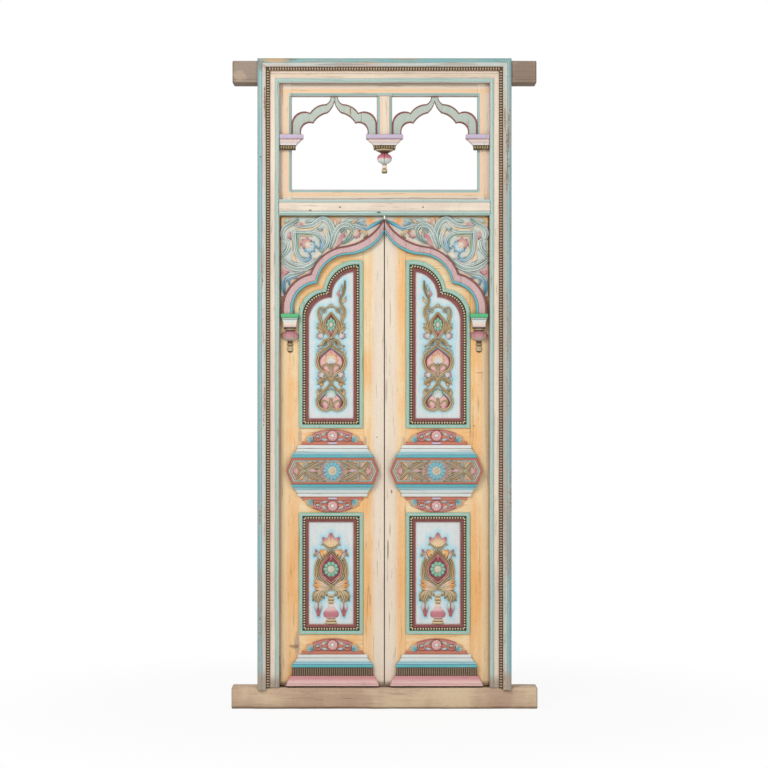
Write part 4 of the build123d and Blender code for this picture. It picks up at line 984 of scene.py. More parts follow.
@dataclass(frozen=True)
class Timber:
    """Old paint on wood: bands of colour, brush streaks, chips down to the wood, soiling and painted shade in corners,
    and worn edges.
    """

    name: str
    coat: Coat
    drift: Coat
    grain: Way = Way.UP
    bands: tuple[Band, ...] = ()
    marks: tuple[Mark, ...] = ()
    carved: bool = False
    cracks: float = 0.5
    chips: float = 0.35
    # How strongly the soiling and the painted corner shade darken the paint.
    grime: float = 0.6
    edge_wear: float = 0.6
    wood: tuple[Coat, Coat] = (DARK_WOOD, GREY_WOOD)
    roughness: float = 0.55
    bump: float = 0.5

    def material(self) -> bpy.types.Material:
        """Builds the nodes: the paint, then what time did to it, then how light meets it.

        Returns:
            The material.
        """
        g = Graph(bpy.data.materials.new(self.name))
        n = Noises.read(g, self.grain)
        x, y, z = (g.add("ShaderNodeSeparateXYZ", {}, {0: n.place}, k) for k in range(3))
        colour = self.painted(g, n, {Measure.OUT: x.size(), Measure.DEPTH: y, Measure.HEIGHT: z})
        chipped, thin = self.losses(g, n)
        bare = g.add("ShaderNodeValToRGB", {"stops": ((0.3, self.wood[0]), (0.7, self.wood[1]))}, {0: n.fibre})
        colour = g.mix(thin * 0.35, colour, BEIGE)
        colour = g.mix(chipped, colour, bare)
        colour = g.mix(n.shake.step(0.6, 0.7) * self.cracks, colour, DARK_WOOD)
        # Umber laid over the soiling and over the painted shade in corners and hollows.
        colour = g.mix(self.dirt_and_shade(g, n) * self.grime, colour, UMBER)
        colour = self.stained(g, n, x, z, colour)
        rough = self.roughness + chipped * 0.2 + (n.streak - 0.5) * 0.16
        relief = n.fibre * 0.35 + n.streak * 0.25 + n.flake * 0.2 - chipped * 0.6 - thin * 0.15
        bumped = g.add("ShaderNodeBump", {}, {"Strength": self.bump, "Distance": 0.0007, "Height": relief})
        surface = {"Base Color": colour, "Roughness": rough, "Normal": bumped, "Specular IOR Level": 0.3}
        g.add("ShaderNodeOutputMaterial", {}, {"Surface": g.add("ShaderNodeBsdfPrincipled", {}, surface)})
        return g.owner

    def painted(self, g: Graph, n: Noises, places: dict[Measure, Wire]) -> Wire:
        """The paint before any wear: the coat and its drift, or the carving's own tints, and the bands over them.

        Args:
            g: The nodes to add to.
            n: The noises.
            places: What each band can be measured by.

        Returns:
            The colour.
        """
        if self.carved:
            colour = g.add("ShaderNodeAttribute", {"attribute_name": "tint"}, {}, "Color")
        else:
            colour = g.mix((n.blotch * 0.7 + n.streak * 0.3).step(0.42, 0.62), self.coat, self.drift)
        wobble = (n.streak + n.blotch - 1) * 0.006
        for band in self.bands:
            at = places[band.measure] + wobble
            low, high, soft = band.start * MM, band.end * MM, band.soft * MM
            inside = at.step(low - soft, low + soft) * (1 - at.step(high - soft, high + soft))
            colour = g.mix(inside * band.strength, colour, band.coat)
        tone = 0.86 + n.streak * 0.14 + n.blotch * 0.14
        depth = 0.92 + n.flake * 0.16
        return g.add("ShaderNodeHueSaturation", {}, {"Hue": 0.5, "Saturation": depth, "Value": tone, "Color": colour})

    def losses(self, g: Graph, n: Noises) -> tuple[Wire, Wire]:
        """Where the paint is lost, more so along edges: the sum of the noises and the edge, past a threshold.

        Args:
            g: The nodes to add to.
            n: The noises.

        Returns:
            How far it is chipped off, and how far it is worn thin.
        """
        normal = g.add("ShaderNodeNewGeometry", {}, {}, "Normal")
        soft_normal = g.add("ShaderNodeBevel", {"samples": 4}, {"Radius": 0.0028})
        turn = g.add("ShaderNodeVectorMath", {"operation": "DOT_PRODUCT"}, {0: normal, 1: soft_normal}, "Value")
        edge = (1 - turn).step(0.01, 0.16)
        loss = n.patch * 0.75 + n.flake * 0.25 + edge * (0.12 * self.edge_wear) + (n.blotch - 0.5) * 0.25
        threshold = 0.74 - 0.12 * self.chips
        return loss.step(threshold, threshold + 0.025), loss.step(threshold - 0.07, threshold)

    def dirt_and_shade(self, g: Graph, n: Noises) -> Wire:
        """How much the paint is darkened: soiling in specks, painted shade from occlusion in corners and between
        pieces, and a carving's own soiling and painted shade.

        Args:
            g: The nodes to add to.
            n: The noises.

        Returns:
            The amount.
        """
        nook = {"Distance": 0.014 if self.carved else 0.024}
        # Occlusion darkens corners and the joints between pieces: a painted shade.
        corner = 1 - g.add("ShaderNodeAmbientOcclusion", {"samples": 6}, nook, "AO")
        dirt_and_shade = corner.step(0.2, 0.8) * 0.8 + (n.fibre - 0.5) * 0.35 + (n.flake - 0.55).most(0.0) * 1.2
        if self.carved:
            dirt_and_shade = dirt_and_shade + g.add("ShaderNodeAttribute", {"attribute_name": "grime"}, {}, "Fac").step(0.4, 1.0) * 0.7
        return dirt_and_shade

    def stained(self, g: Graph, n: Noises, x: Wire, z: Wire, colour: Wire) -> Wire:
        """Lays the marks over the paint: each fades with the squared distance from its middle, made ragged by noise.

        Args:
            g: The nodes to add to.
            n: The noises.
            x: The place across the door.
            z: The height.
            colour: The colour so far.

        Returns:
            The colour with its marks.
        """
        for mark in self.marks:
            across = (x - mark.x * MM) * (1 / (mark.half_width * MM))
            along = (z - mark.z * MM) * (1 / (mark.half_height * MM))
            away = across * across + along * along + (n.flake - 0.5) * 2.2 + (n.patch - 0.5) * 2.4
            colour = g.mix((1 - away.step(0.35, 1.25)) * mark.strength, colour, mark.coat)
        return colour


@dataclass(frozen=True)
class Iron:
    """Dark rusted iron for the pivots."""

    name: str = "rusted pivot iron"

    def material(self) -> bpy.types.Material:
        """Builds the nodes: rust where a coarse noise is high, darker iron elsewhere.

        Returns:
            The material.
        """
        g = Graph(bpy.data.materials.new(self.name))
        place = g.add("ShaderNodeTexCoord", {}, {}, "Object")
        rust = g.noise(place, (260.0, 260.0, 260.0), detail=5.0, rough=0.6)
        colour = g.mix(rust.step(0.4, 0.6), UMBER, Coat.RUST)
        bumped = g.add("ShaderNodeBump", {}, {"Strength": 0.4, "Distance": 0.0005, "Height": rust})
        metal = 0.8 - rust * 0.6
        shader = g.add(
            "ShaderNodeBsdfPrincipled",
            {},
            {"Base Color": colour, "Roughness": 0.5 + rust * 0.3, "Metallic": metal, "Normal": bumped},
        )
        g.add("ShaderNodeOutputMaterial", {}, {"Surface": shader})
        return g.owner


# ---------------------------------------------------------------- making pieces


class Side(Enum):
    """A leaf's or jamb's side of the door."""

    LEFT = "left"
    RIGHT = "right"

    @property
    def leaf(self) -> str:
        """The name of the leaf's body."""
        return f"{self.value}_leaf"


SHARP_ANGLE = math.radians(36)


def make_piece(
    name: str, shells: list[Shell], body: str, stands_for: tuple[str, ...], material: bpy.types.Material
) -> bpy.types.Object:
    """Makes one object of closed skins, lets it ride on its body and hides the CAD nodes that it replaces.

    Args:
        name: The object's name.
        shells: Its skins, in millimetres.
        body: The CAD body that it moves with.
        stands_for: The CAD nodes that it replaces.
        material: Its finish.

    Returns:
        The object, at the origin.
    """
    whole = joined(shells)
    mesh = bpy.data.meshes.new(name)
    corners = np.concatenate([block.ravel() for block in whole.faces])
    sizes = np.concatenate([np.full(len(block), block.shape[1]) for block in whole.faces])
    mesh.vertices.add(len(whole.points))
    mesh.vertices.foreach_set("co", (whole.points * MM).astype(np.float32).ravel())
    mesh.loops.add(len(corners))
    mesh.loops.foreach_set("vertex_index", corners.astype(np.int32))
    mesh.polygons.add(len(sizes))
    mesh.polygons.foreach_set("loop_start", np.concatenate([[0], np.cumsum(sizes)[:-1]]).astype(np.int32))
    mesh.polygons.foreach_set("use_smooth", np.ones(len(sizes), bool))
    mesh.update(calc_edges=True)
    mesh.set_sharp_from_angle(angle=SHARP_ANGLE)
    tint = mesh.attributes.new("tint", "FLOAT_COLOR", "POINT")
    colours = np.column_stack([whole.tint, np.ones(len(whole.tint))])
    tint.data.foreach_set("color", colours.astype(np.float32).ravel())
    grime = mesh.attributes.new("grime", "FLOAT", "POINT")
    grime.data.foreach_set("value", whole.grime.astype(np.float32))
    mesh.materials.append(material)
    piece = bpy.data.objects.new(name, mesh)
    bpy.context.scene.collection.objects.link(piece)
    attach(piece, body)
    if stands_for:
        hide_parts(*stands_for)
    LOG.info("%s: %d points, %d faces, on %s", name, len(whole.points), len(sizes), body)
    return piece


def dress(nodes: dict[str, bpy.types.Object], material: bpy.types.Material, *names: str) -> None:
    """Gives kept CAD nodes their finish.

    Args:
        nodes: The frame's nodes by name.
        material: The finish.
        names: The nodes that get it.
    """
    for name in names:
        piece = nodes[name]
        if not piece.material_slots:
            piece.data.materials.append(material)
        for slot in piece.material_slots:
            slot.material = material
        LOG.info("%s: kept from the frame, %s", name, material.name)


# ---------------------------------------------------------------- the frame


@dataclass
class Surround:
    """The fixed frame: threshold, head beam, jambs, casings, stops, bead strips and the bar over the leaves."""

    nodes: dict[str, bpy.types.Object]
    sill_half: float = 635.0
    sill_height: float = 88.6
    front: float = -50.0
    back: float = 65.0
    beam_half: float = 631.0
    frame_half: float = 527.0
    strip_middle: float = 483.5
    strip_width: float = 17.0
    strip_face: float = -55.0
    bead_pitch: float = 11.0

    def build(self) -> None:
        """Makes the worn timbers and the beads, and paints the rest."""
        self.make_sill()
        self.make_head_beam()
        self.make_bead_strips()
        self.paint_casings()
        self.paint_stops()
        self.paint_structure()

    def worn_bar(self, sections: Array, places: Array, tint: Array, wear: float) -> Shell:
        """A timber along X: each ring is a section, drawn in a little by two swells of uneven wear.

        Args:
            sections: Y and Z round each ring, as rows by columns by 2.
            places: The X of each ring.
            tint: Its linear colours, spread over rows and columns.
            wear: The most that it is drawn in, in millimetres.

        Returns:
            A closed skin.
        """
        x = np.broadcast_to(places[:, None], sections.shape[:2])
        rings = np.concatenate([x[..., None], sections], -1)
        middle = rings.mean(1, keepdims=True)
        swell = 0.5 + 0.3 * ripple(rings, 230.0) + 0.2 * ripple(rings, 60.0)
        span = np.abs(sections - sections.mean(1, keepdims=True)).max(1, keepdims=True).mean(-1)[..., None]
        shrink = 1 - wear * np.clip(swell, 0, 1)[..., None] / span
        rings[..., 1:] = middle[..., 1:] + (rings[..., 1:] - middle[..., 1:]) * shrink
        return tube(rings, tint, 0.0)

    @staticmethod
    def eased_section(corners: tuple[Point, ...], ease: float) -> Array:
        """A section whose corners are rounded: a point a step back, one a step on, and one drawn in between.

        Args:
            corners: The section's corners in order, as Y and Z.
            ease: How far along each side the cut starts.

        Returns:
            Three points for each corner, the middle one drawn a little in.
        """
        c = np.asarray(corners, float)
        before, after = np.roll(c, 1, 0) - c, np.roll(c, -1, 0) - c
        before /= np.hypot(*before.T)[:, None]
        after /= np.hypot(*after.T)[:, None]
        return np.stack([c + before * ease, c + (before + after) * ease * 0.3, c + after * ease], 1).reshape(-1, 2)

    def make_sill(self) -> None:
        """Makes the threshold: an eased block whose faces and ends are unevenly worn."""
        corners = ((self.front, 0), (self.back, 0), (self.back, self.sill_height), (self.front, self.sill_height))
        section = self.eased_section(corners, 4.0)
        inner = self.sill_half - 3.0
        places = np.concatenate([[-self.sill_half], np.linspace(-inner, inner, 141), [self.sill_half]])
        sections = np.repeat(section[None], len(places), 0)
        centre = section.mean(0)
        sections[[0, -1]] = centre + (sections[[0, -1]] - centre) * END_SHRINK
        finish = Timber(
            "bare threshold wood", Coat.SILL_WOOD, BEIGE, Way.ACROSS, chips=0.2, grime=0.8,
            bands=(Band(Measure.HEIGHT, -5, 9, DARK_WOOD, 5.0, 0.75),
                   Band(Measure.OUT, 632.5, 700, DARK_WOOD, 2.0, 0.7)),
            roughness=0.75, bump=1.0, edge_wear=1.4,
        )
        shell = self.worn_bar(sections, places, Coat.SILL_WOOD.light, 1.6)
        make_piece("worn_sill", [shell], "frame", ("sill",), finish.material())

    def make_head_beam(self) -> None:
        """Makes the head beam: full section at its horns, rebated between the jambs for the stop and the light."""
        top, low, notch, under, seat = 2691.0, 2599.0, 2637.0, 2611.0, -20.0
        horn = ((self.front, top), (self.back, top), (self.back, low), (seat, low), (seat - 8, low), (self.front, low))
        middle = (
            (self.front, top), (self.back, top), (self.back, under), (seat, under), (seat, notch), (self.front, notch),
        )
        shapes = [self.eased_section(corners, 2.5) for corners in (horn, middle)]
        centre = shapes[0].mean(0)
        outside = np.linspace(self.beam_half - 3, self.frame_half + 0.1, 14)
        inside = np.linspace(self.frame_half, -self.frame_half, 41)
        horns = np.repeat(shapes[0][None], len(outside), 0)
        places = np.concatenate([[self.beam_half], outside, inside, -outside[::-1], [-self.beam_half]])
        end = centre + (shapes[0] - centre) * END_SHRINK
        sections = np.concatenate([end[None], horns, np.repeat(shapes[1][None], len(inside), 0), horns, end[None]])
        painted = (np.abs(places) < self.frame_half)[:, None, None]
        tint = np.where(painted, PINK_CREAM.light, Coat.OLD_GREY.light)
        worn = self.worn_bar(sections, places, tint, 1.2)
        finish = Timber(
            "grey beam wood", Coat.OLD_GREY, GREY_WOOD, Way.ACROSS, carved=True, chips=0.5, grime=0.8,
            bands=(Band(Measure.HEIGHT, 2590, 2603, DARK_WOOD, 1.5, 0.6),
                   Band(Measure.HEIGHT, 2611, 2615, DARK_WOOD, 1.0, 0.5),
                   Band(Measure.HEIGHT, 2620, 2622, DARK_WOOD, 1.0, 0.3),
                   Band(Measure.OUT, 626.0, 700, DARK_WOOD, 2.0, 0.75)),
            marks=(Mark(580, 2645, 62, 60, DARK_WOOD, 0.4), Mark(-600, 2630, 30, 24, BEIGE, 0.3)),
            wood=(DARK_WOOD, BEIGE), roughness=0.75, bump=1.0, edge_wear=1.2,
        )
        make_piece("worn_head_beam", [worn], "frame", ("head_beam",), finish.material())

    def make_bead_strips(self) -> None:
        """Makes the bead strips: a flat bed with a raised lip each side, and a bead at each pitch. The dark brown bed
        and the beads' brown feet are painted shade in the gaps, with soiling.
        """
        half, foot, head = self.strip_width / 2, 89.0, 2656.5
        bed = self.strip_face
        profile = [
            (0.0, self.front, PALE_BLUE, 0.5), (0.0, bed - 1.5, PALE_BLUE, 0.2),
            (0.04, bed - 1.6, PALE_BLUE, 0.1), (0.08, bed, BEAD_BROWN, 0.8), (0.92, bed, BEAD_BROWN, 0.8),
            (0.96, bed - 1.0, BEAD_BROWN, 0.3), (1.0, bed - 0.8, BEIGE, 0.3), (1.0, self.front, BEIGE, 0.5),
        ]
        outer_x, inner_x = self.strip_middle + half, self.strip_middle - half
        corners_out = ((outer_x, foot), (outer_x, head + half), (-outer_x, head + half), (-outer_x, foot))
        corners_in = ((inner_x, foot), (inner_x, head - half), (-inner_x, head - half), (-inner_x, foot))
        lines = [np.vstack([run(*corners, steps=40), corners[-1]]) for corners in (corners_out, corners_in)]
        shells = [ruled(lines[0], lines[1], profile, self.front + SUNK)]
        unit = bead(length=8.8, width=14.6, height=6.0, tip=Coat.BEAD_TAN, foot=BEAD_BROWN)
        stretches = (
            ((self.strip_middle, foot + 1), (self.strip_middle, head - 6)),
            ((-self.strip_middle, foot + 1), (-self.strip_middle, head - 6)),
            ((-self.strip_middle + 3, head), (self.strip_middle - 3, head)),
        )
        for start, end in stretches:
            places, turns = spaced(np.array([start, end]), self.bead_pitch)
            shells.append(repeated(unit, standing(places, bed + 0.2), turns))
        finish = Timber("worn bead paint", KHAKI, OLIVE, carved=True, chips=0.5, grime=0.85)
        make_piece("bead_rows", shells, "frame", ("bead_strips",), finish.material())

    def paint_casings(self) -> None:
        """Paints the casings: a pale band, a quirk and a teal outer moulding, worn to grey wood at the edge."""
        out, high = Measure.OUT, Measure.HEIGHT
        side_casing = Timber(
            "casing paint", CASING_PALE, WORN_PINK, chips=1.3, grime=0.8,
            bands=(Band(out, 508.5, 540, Coat.CASING_TEAL, 1.5, 0.9), Band(out, 507, 508.5, DARK_WOOD, 0.8, 0.5),
                   Band(out, 517, 540, SKY, 3.0, 0.25), Band(out, 511.5, 513.5, SCROLL, 0.8, 0.5),
                   Band(out, 524.4, 540, GREY_WOOD, 1.2, 0.75), Band(out, 490, 496.5, WORN_PINK, 1.5, 0.5),
                   Band(out, 497, 507, SCROLL, 1.5, 0.4),
                   Band(high, 60, 150, GREY_WOOD, 25.0, 0.9)),
            marks=(Mark(-512, 2688, 16, 44, DARK_WOOD, 0.5), Mark(-514, 2290, 3.5, 3.5), Mark(516, 2252, 3.5, 3.5),
                   Mark(515, 1560, 8, 130, GREY_WOOD, 0.6), Mark(-505, 1850, 9, 90, GREY_WOOD, 0.5),
                   Mark(512, 700, 12, 160, GREY_WOOD, 0.6), Mark(500, 1500, 9, 1250, Coat.OLD_GREY, 0.5),
                   Mark(-515, 480, 10, 120, GREY_WOOD, 0.6)),
        )
        dress(self.nodes, side_casing.material(), "left_casing", "right_casing")
        head_casing = Timber(
            "head casing paint", CASING_PALE, WORN_PINK, Way.ACROSS, chips=1.1, grime=1.0,
            bands=(Band(high, 2682, 2710, Coat.CASING_TEAL, 1.5, 1.0), Band(high, 2696.5, 2710, GREY_WOOD, 1.2, 0.5),
                   Band(high, 2680.5, 2682, DARK_WOOD, 0.8, 0.5),
                   Band(high, 2660, 2669, WORN_PINK, 1.5, 0.7)),
            marks=(Mark(-440, 2694, 78, 11, DARK_WOOD, 0.6), Mark(-455, 2690, 60, 10, ORANGE, 0.5),
                   Mark(90, 2696, 60, 7, GREY_WOOD, 0.7), Mark(300, 2675, 90, 6, GREY_WOOD, 0.6),
                   Mark(-180, 2674, 110, 5, DARK_WOOD, 0.45)),
        )
        dress(self.nodes, head_casing.material(), "head_casing")

    def paint_stops(self) -> None:
        """Paints the stops: cream flats and a mint reed with a sage line, and a painted shadow along the edge by the
        leaves and the light.
        """
        out, high = Measure.OUT, Measure.HEIGHT
        side_stop = Timber(
            "stop paint", PINK_CREAM, CREAM, chips=0.6, grime=0.55,
            bands=(Band(out, 438.5, 455.5, MINT, 1.0), Band(out, 446, 448, SAGE, 0.8, 0.8),
                   Band(out, 440.5, 444, SCROLL, 0.8, 0.8), Band(out, 450, 453, SCROLL, 0.8, 0.7),
                   # The dark wood band from 430 to 438.5 is a painted shadow along the stop's edge by the leaf.
                   Band(out, 455.5, 457, GREY_WOOD, 0.6, 0.5), Band(out, 430, 438.5, DARK_WOOD, 0.8, 0.5),
                   Band(high, 60, 130, GREY_WOOD, 25.0, 0.9)),
        )
        dress(self.nodes, side_stop.material(), "left_stop", "right_stop")
        head_stop = Timber(
            "head stop paint", PINK_CREAM, CREAM, Way.ACROSS, chips=0.6, grime=0.55,
            bands=(Band(high, 2600.5, 2618.5, MINT, 1.0), Band(high, 2608, 2610, SAGE, 0.8, 0.8),
                   Band(high, 2603, 2606, SCROLL, 0.8, 0.8), Band(high, 2612, 2615, SCROLL, 0.8, 0.7),
                   Band(high, 2618.5, 2620, DARK_WOOD, 0.6, 0.4), Band(high, 2620, 2640, BEIGE, 2.0, 0.4),
                   # The dark wood band from 2595 to 2600.5 is a painted shadow along the stop's lower edge over the
                   # light.
                   Band(high, 2595, 2600.5, DARK_WOOD, 0.8, 0.6)),
        )
        dress(self.nodes, head_stop.material(), "head_stop")

    def paint_structure(self) -> None:
        """Paints the jambs and the bar over the leaves, and gives the pivots their iron."""
        out, high = Measure.OUT, Measure.HEIGHT
        jamb = Timber(
            "jamb paint", CREAM, PINK_CREAM, chips=0.7, grime=0.6,
            bands=(Band(out, 525, 540, CASING_PALE, 1.0), Band(high, 40, 150, GREY_WOOD, 30.0, 0.9)),
        )
        dress(self.nodes, jamb.material(), "left_jamb", "right_jamb")
        bar = Timber(
            "bar paint", PINK_CREAM, CREAM, Way.ACROSS, chips=0.45, grime=0.6,
            bands=(Band(high, 2102, 2118, CASING_PALE, 1.0), Band(high, 2104, 2110, MINT, 1.0, 0.7),
                   Band(high, 2101, 2102.5, GREY_WOOD, 0.5, 0.6),
                   Band(high, 2069, 2070.5, DARK_WOOD, 0.5, 0.6), Band(high, 2040, 2067, MINT, 1.0),
                   Band(high, 2057, 2059, SAGE, 0.6, 0.9),
                   Band(high, 2061, 2064, SCROLL, 0.8, 0.8)),
            marks=(Mark(-184.7, 2083, 4.5, 3.5), Mark(159.8, 2083, 4.5, 3.5), Mark(-308, 2070, 7, 3),
                   Mark(-23, 2061, 10, 3)),
        )
        dress(self.nodes, bar.material(), "transom_bar")
        dress(self.nodes, Iron().material(), "pivot_sockets", "left_pivot_pins", "right_pivot_pins")


@dataclass
class TransomLight:
    """The fixed light over the leaves: its sash, its two cusped arches, their brackets and the pendant."""

    nodes: dict[str, bpy.types.Object]
    arch_middle: float = 209.35
    foot: float = 2386.0
    rim: float = -17.0
    face: float = -14.0
    back: float = 4.0
    half: float = 177.35
    rise: float = 161.0
    bracket_front: float = -48.0
    bead_inset: float = 11.4
    bead_drop: float = 53.5
    pendant_axis: Point = (0.0, -24.0)

    def build(self) -> None:
        """Makes the carved pieces and paints the sash."""
        carved = Timber("transom carving paint", MINT, WHITE, carved=True, chips=0.9, grime=0.75, cracks=0.7)
        material = carved.material()
        for side in Side:
            shells = self.arch()
            if side is Side.LEFT:
                shells = [shell.mirrored() for shell in shells]
            name = f"{side.value}_transom_arch"
            make_piece(f"{name}_carved", shells, "frame", (name,), material)
        make_piece(
            "middle_bracket_carved", self.middle_bracket(), "frame", ("middle_bracket",), material
        )
        side_brackets = self.side_bracket()
        side_brackets += [shell.mirrored() for shell in side_brackets]
        make_piece("side_brackets_carved", side_brackets, "frame", ("side_brackets",), material)
        make_piece("pendant_carved", [self.pendant()], "frame", ("transom_pendant",), material)
        self.paint()

    def arch(self) -> list[Shell]:
        """The right-hand arch: two cusped halves, each carried between its upper and its lower line.

        The face is pitted by the product of two sines, a wave every ten millimetres, and tinted by the same product.

        Returns:
            Closed skins.
        """
        steps = 36
        outer = np.vstack([
            run((self.half, 0), (self.half, 40), steps=12),
            arc_through((self.half, 40), (157, 88), (101, 93), steps - 12)[:-1],
            arc_through((101, 93), (72, 120), (36, 129), steps)[:-1],
            arc_through((36, 129), (21, 141), (15, self.rise), steps - 4)[:-1],
            run((15, self.rise), (0, self.rise), steps=4),
            [(0, self.rise)],
        ])
        inner = np.vstack([
            arc_through((136, 0), (121, 46), (88, 49), steps)[:-1],
            arc_through((88, 49), (60, 79), (29, 92), steps)[:-1],
            arc_through((29, 92), (11, 112), (0, 138), steps),
        ])
        stipple = [(s, self.face, STONE, 0.1) for s in np.linspace(0.16, 0.87, 21)]
        # The dark maroon rows where each border steps down to the sunk face are painted shade in that corner, with
        # soiling.
        profile = [
            (0.0, self.rim + 2, MAROON, 0.6), (0.02, self.rim, MAROON, 0.2), (0.09, self.rim, MAROON, 0.2),
            (0.12, self.rim + 1, MAROON, 0.3), (0.14, self.face, DARK_MAROON, 0.7), *stipple,
            (0.89, self.face, DARK_MAROON, 0.7), (0.91, self.rim + 1, MAROON, 0.3), (0.93, self.rim, MAROON, 0.1),
            (0.98, self.rim, MAROON, 0.1), (1.0, self.rim + 2, MAROON, 0.6),
        ]
        half = ruled(outer, inner, profile, self.back)
        x, y, z = half.points.T
        pits = np.sin(x * 0.62 + 0.9 * np.sin(z * 0.11)) * np.sin(z * 0.58 + 0.8 * np.sin(x * 0.13))
        flat = np.abs(y - self.face) < 0.01
        half.points[:, 1] -= np.where(flat, 0.6 * pits, 0)
        half.tint[flat] = blend(half.tint[flat], GREEN.light, 0.55 * eased(0.4 + pits[flat]))
        half.tint[flat] = blend(half.tint[flat], WORN_PINK.light, 0.75 * eased(0.4 - pits[flat]))
        half.points += (self.arch_middle, 0, self.foot)
        return [half, half.mirrored(self.arch_middle)]

    def bracket_rows(self, half: float, neck: float) -> list[Row]:
        """A bracket's rows, from its slab down through its cove to the bead step.

        Args:
            half: Its half width at the top.
            neck: Its half width at the neck.

        Returns:
            The rows, their depths counted from Y 0.
        """
        deep, top = -self.bracket_front, self.foot
        return [
            (half - 1.5, deep - 1.5, top, Coat.LAVENDER, 0.1), (half, deep, top - 1.5, Coat.LAVENDER, 0.0),
            (half, deep, top - 14, Coat.LAVENDER, 0.1), (half - 2, deep - 2, top - 17, Coat.LAVENDER, 0.4),
            (half - 6, deep - 5, top - 20, DULL_ROSE, 0.8), (half - 9, deep - 5.5, top - 20.5, LILAC, 0.6),
            (half - 12, deep - 6.0, top - 26, PINK_CREAM, 0.3), (neck + 8, deep - 7.2, top - 34, LILAC, 0.2),
            (neck + 2, deep - 8.0, top - 41, WHITE, 0.1), (neck, deep - 8.4, top - 44.5, PINK_CREAM, 0.5),
            # The umber rows of the bead step, behind and under the beads, are painted shade with soiling.
            (neck - 3, deep - 11, top - 45, UMBER, 0.9), (neck - 3, deep - 11, top - 61, UMBER, 0.9),
            (neck - 4, deep - 12, top - 62, UMBER, 0.9),
        ]

    def bracket_beads(self, x: Array) -> Shell:
        """A bead at each X given, on the step round a bracket's foot.

        Args:
            x: Where the beads stand.

        Returns:
            One skin of many closed parts.
        """
        unit = bead(length=10.2, width=15.0, height=5.0, tip=OLIVE, foot=UMBER)
        places = np.column_stack([x, np.full(len(x), self.foot - self.bead_drop)])
        return repeated(unit, standing(places, self.bracket_front + self.bead_inset))

    def middle_bracket(self) -> list[Shell]:
        """The bracket under the mullion, with a bead at each step round its foot."""
        block = stepped(self.bracket_rows(77.6, 48.0), 0.0, self.back, face=0.0)
        return [block, self.bracket_beads(np.linspace(-42, 42, 9))]

    def side_bracket(self) -> list[Shell]:
        """The right side bracket: it stands in the light and laps over the face of the stile.

        Returns:
            Closed skins.
        """
        rows = self.bracket_rows(97.3, 67.7)
        half, depth, z, tint, grime = columns(rows)
        outer, stile, lap, ease = 435.0, 387.2, -19.4, 1.6
        front = -depth
        inside = outer - half
        one = np.ones_like(half)
        x = np.concatenate([inside, inside, inside + ease, outer * one, outer * one, stile * one, stile * one], 1)
        y = np.concatenate([self.back * one, front + ease, front, front, lap * one, lap * one, self.back * one], 1)
        rings = np.stack([x, y, np.broadcast_to(z, x.shape)], -1)
        caps = tuple(np.array([376.0, -28.0, level]) for level in (rows[0][2], rows[-1][2]))
        return [tube(rings, tint, grime, caps=caps), self.bracket_beads(np.arange(377, 431, 10.4))]

    def pendant(self) -> Shell:
        """The turned drop: a bowl, a lobed ball, a neck and a knob.

        Returns:
            A closed skin.
        """
        top = self.foot - 62
        # The umber and brown rows under the bowl, at the necks and under the knob are painted shade with soiling.
        profile = [(37.5, top + 0.6, OLIVE), (38.2, top - 2, KHAKI), (35, top - 5, OLIVE),
                   (27, top - 9, BEAD_BROWN), (18, top - 13, UMBER)]
        coats = [ROSE] * 6 + [PALE_PINK] + [WHITE] * 6
        profile += [(*row, coat) for row, coat in zip(ball(32, 23, top - 15, 0.45), coats)]
        low = top - 61
        profile += [
            (9.5, low, UMBER), (8.5, low - 4, BEIGE), (9.2, low - 8, CREAM), (8.6, low - 14, PINK_CREAM),
            (8.6, low - 17, BEIGE), (8.0, low - 19, UMBER), (11.6, low - 21, OLIVE),
            (12.0, low - 26, KHAKI), (12.0, low - 32, OLIVE), (10.5, low - 37, BEAD_BROWN),
            (5, low - 38, BEAD_BROWN),
        ]
        return turned(profile, self.pendant_axis, lobes=12, lobe_depth=0.14, lobe_rows=(5, 18))

    def paint(self) -> None:
        """Paints the sash: cream timbers worn to orange, a turquoise chamfer round the light, and a dark line in it
        that is painted shade on the faces of the opening.
        """
        out, high = Measure.OUT, Measure.HEIGHT

        def sash(name: str, grain: Way, *bands: Band) -> Timber:
            """The sash's paint: cream, with the bands given."""
            return Timber(name, CREAM, PINK_CREAM, grain, chips=0.4, grime=0.4, bands=bands)

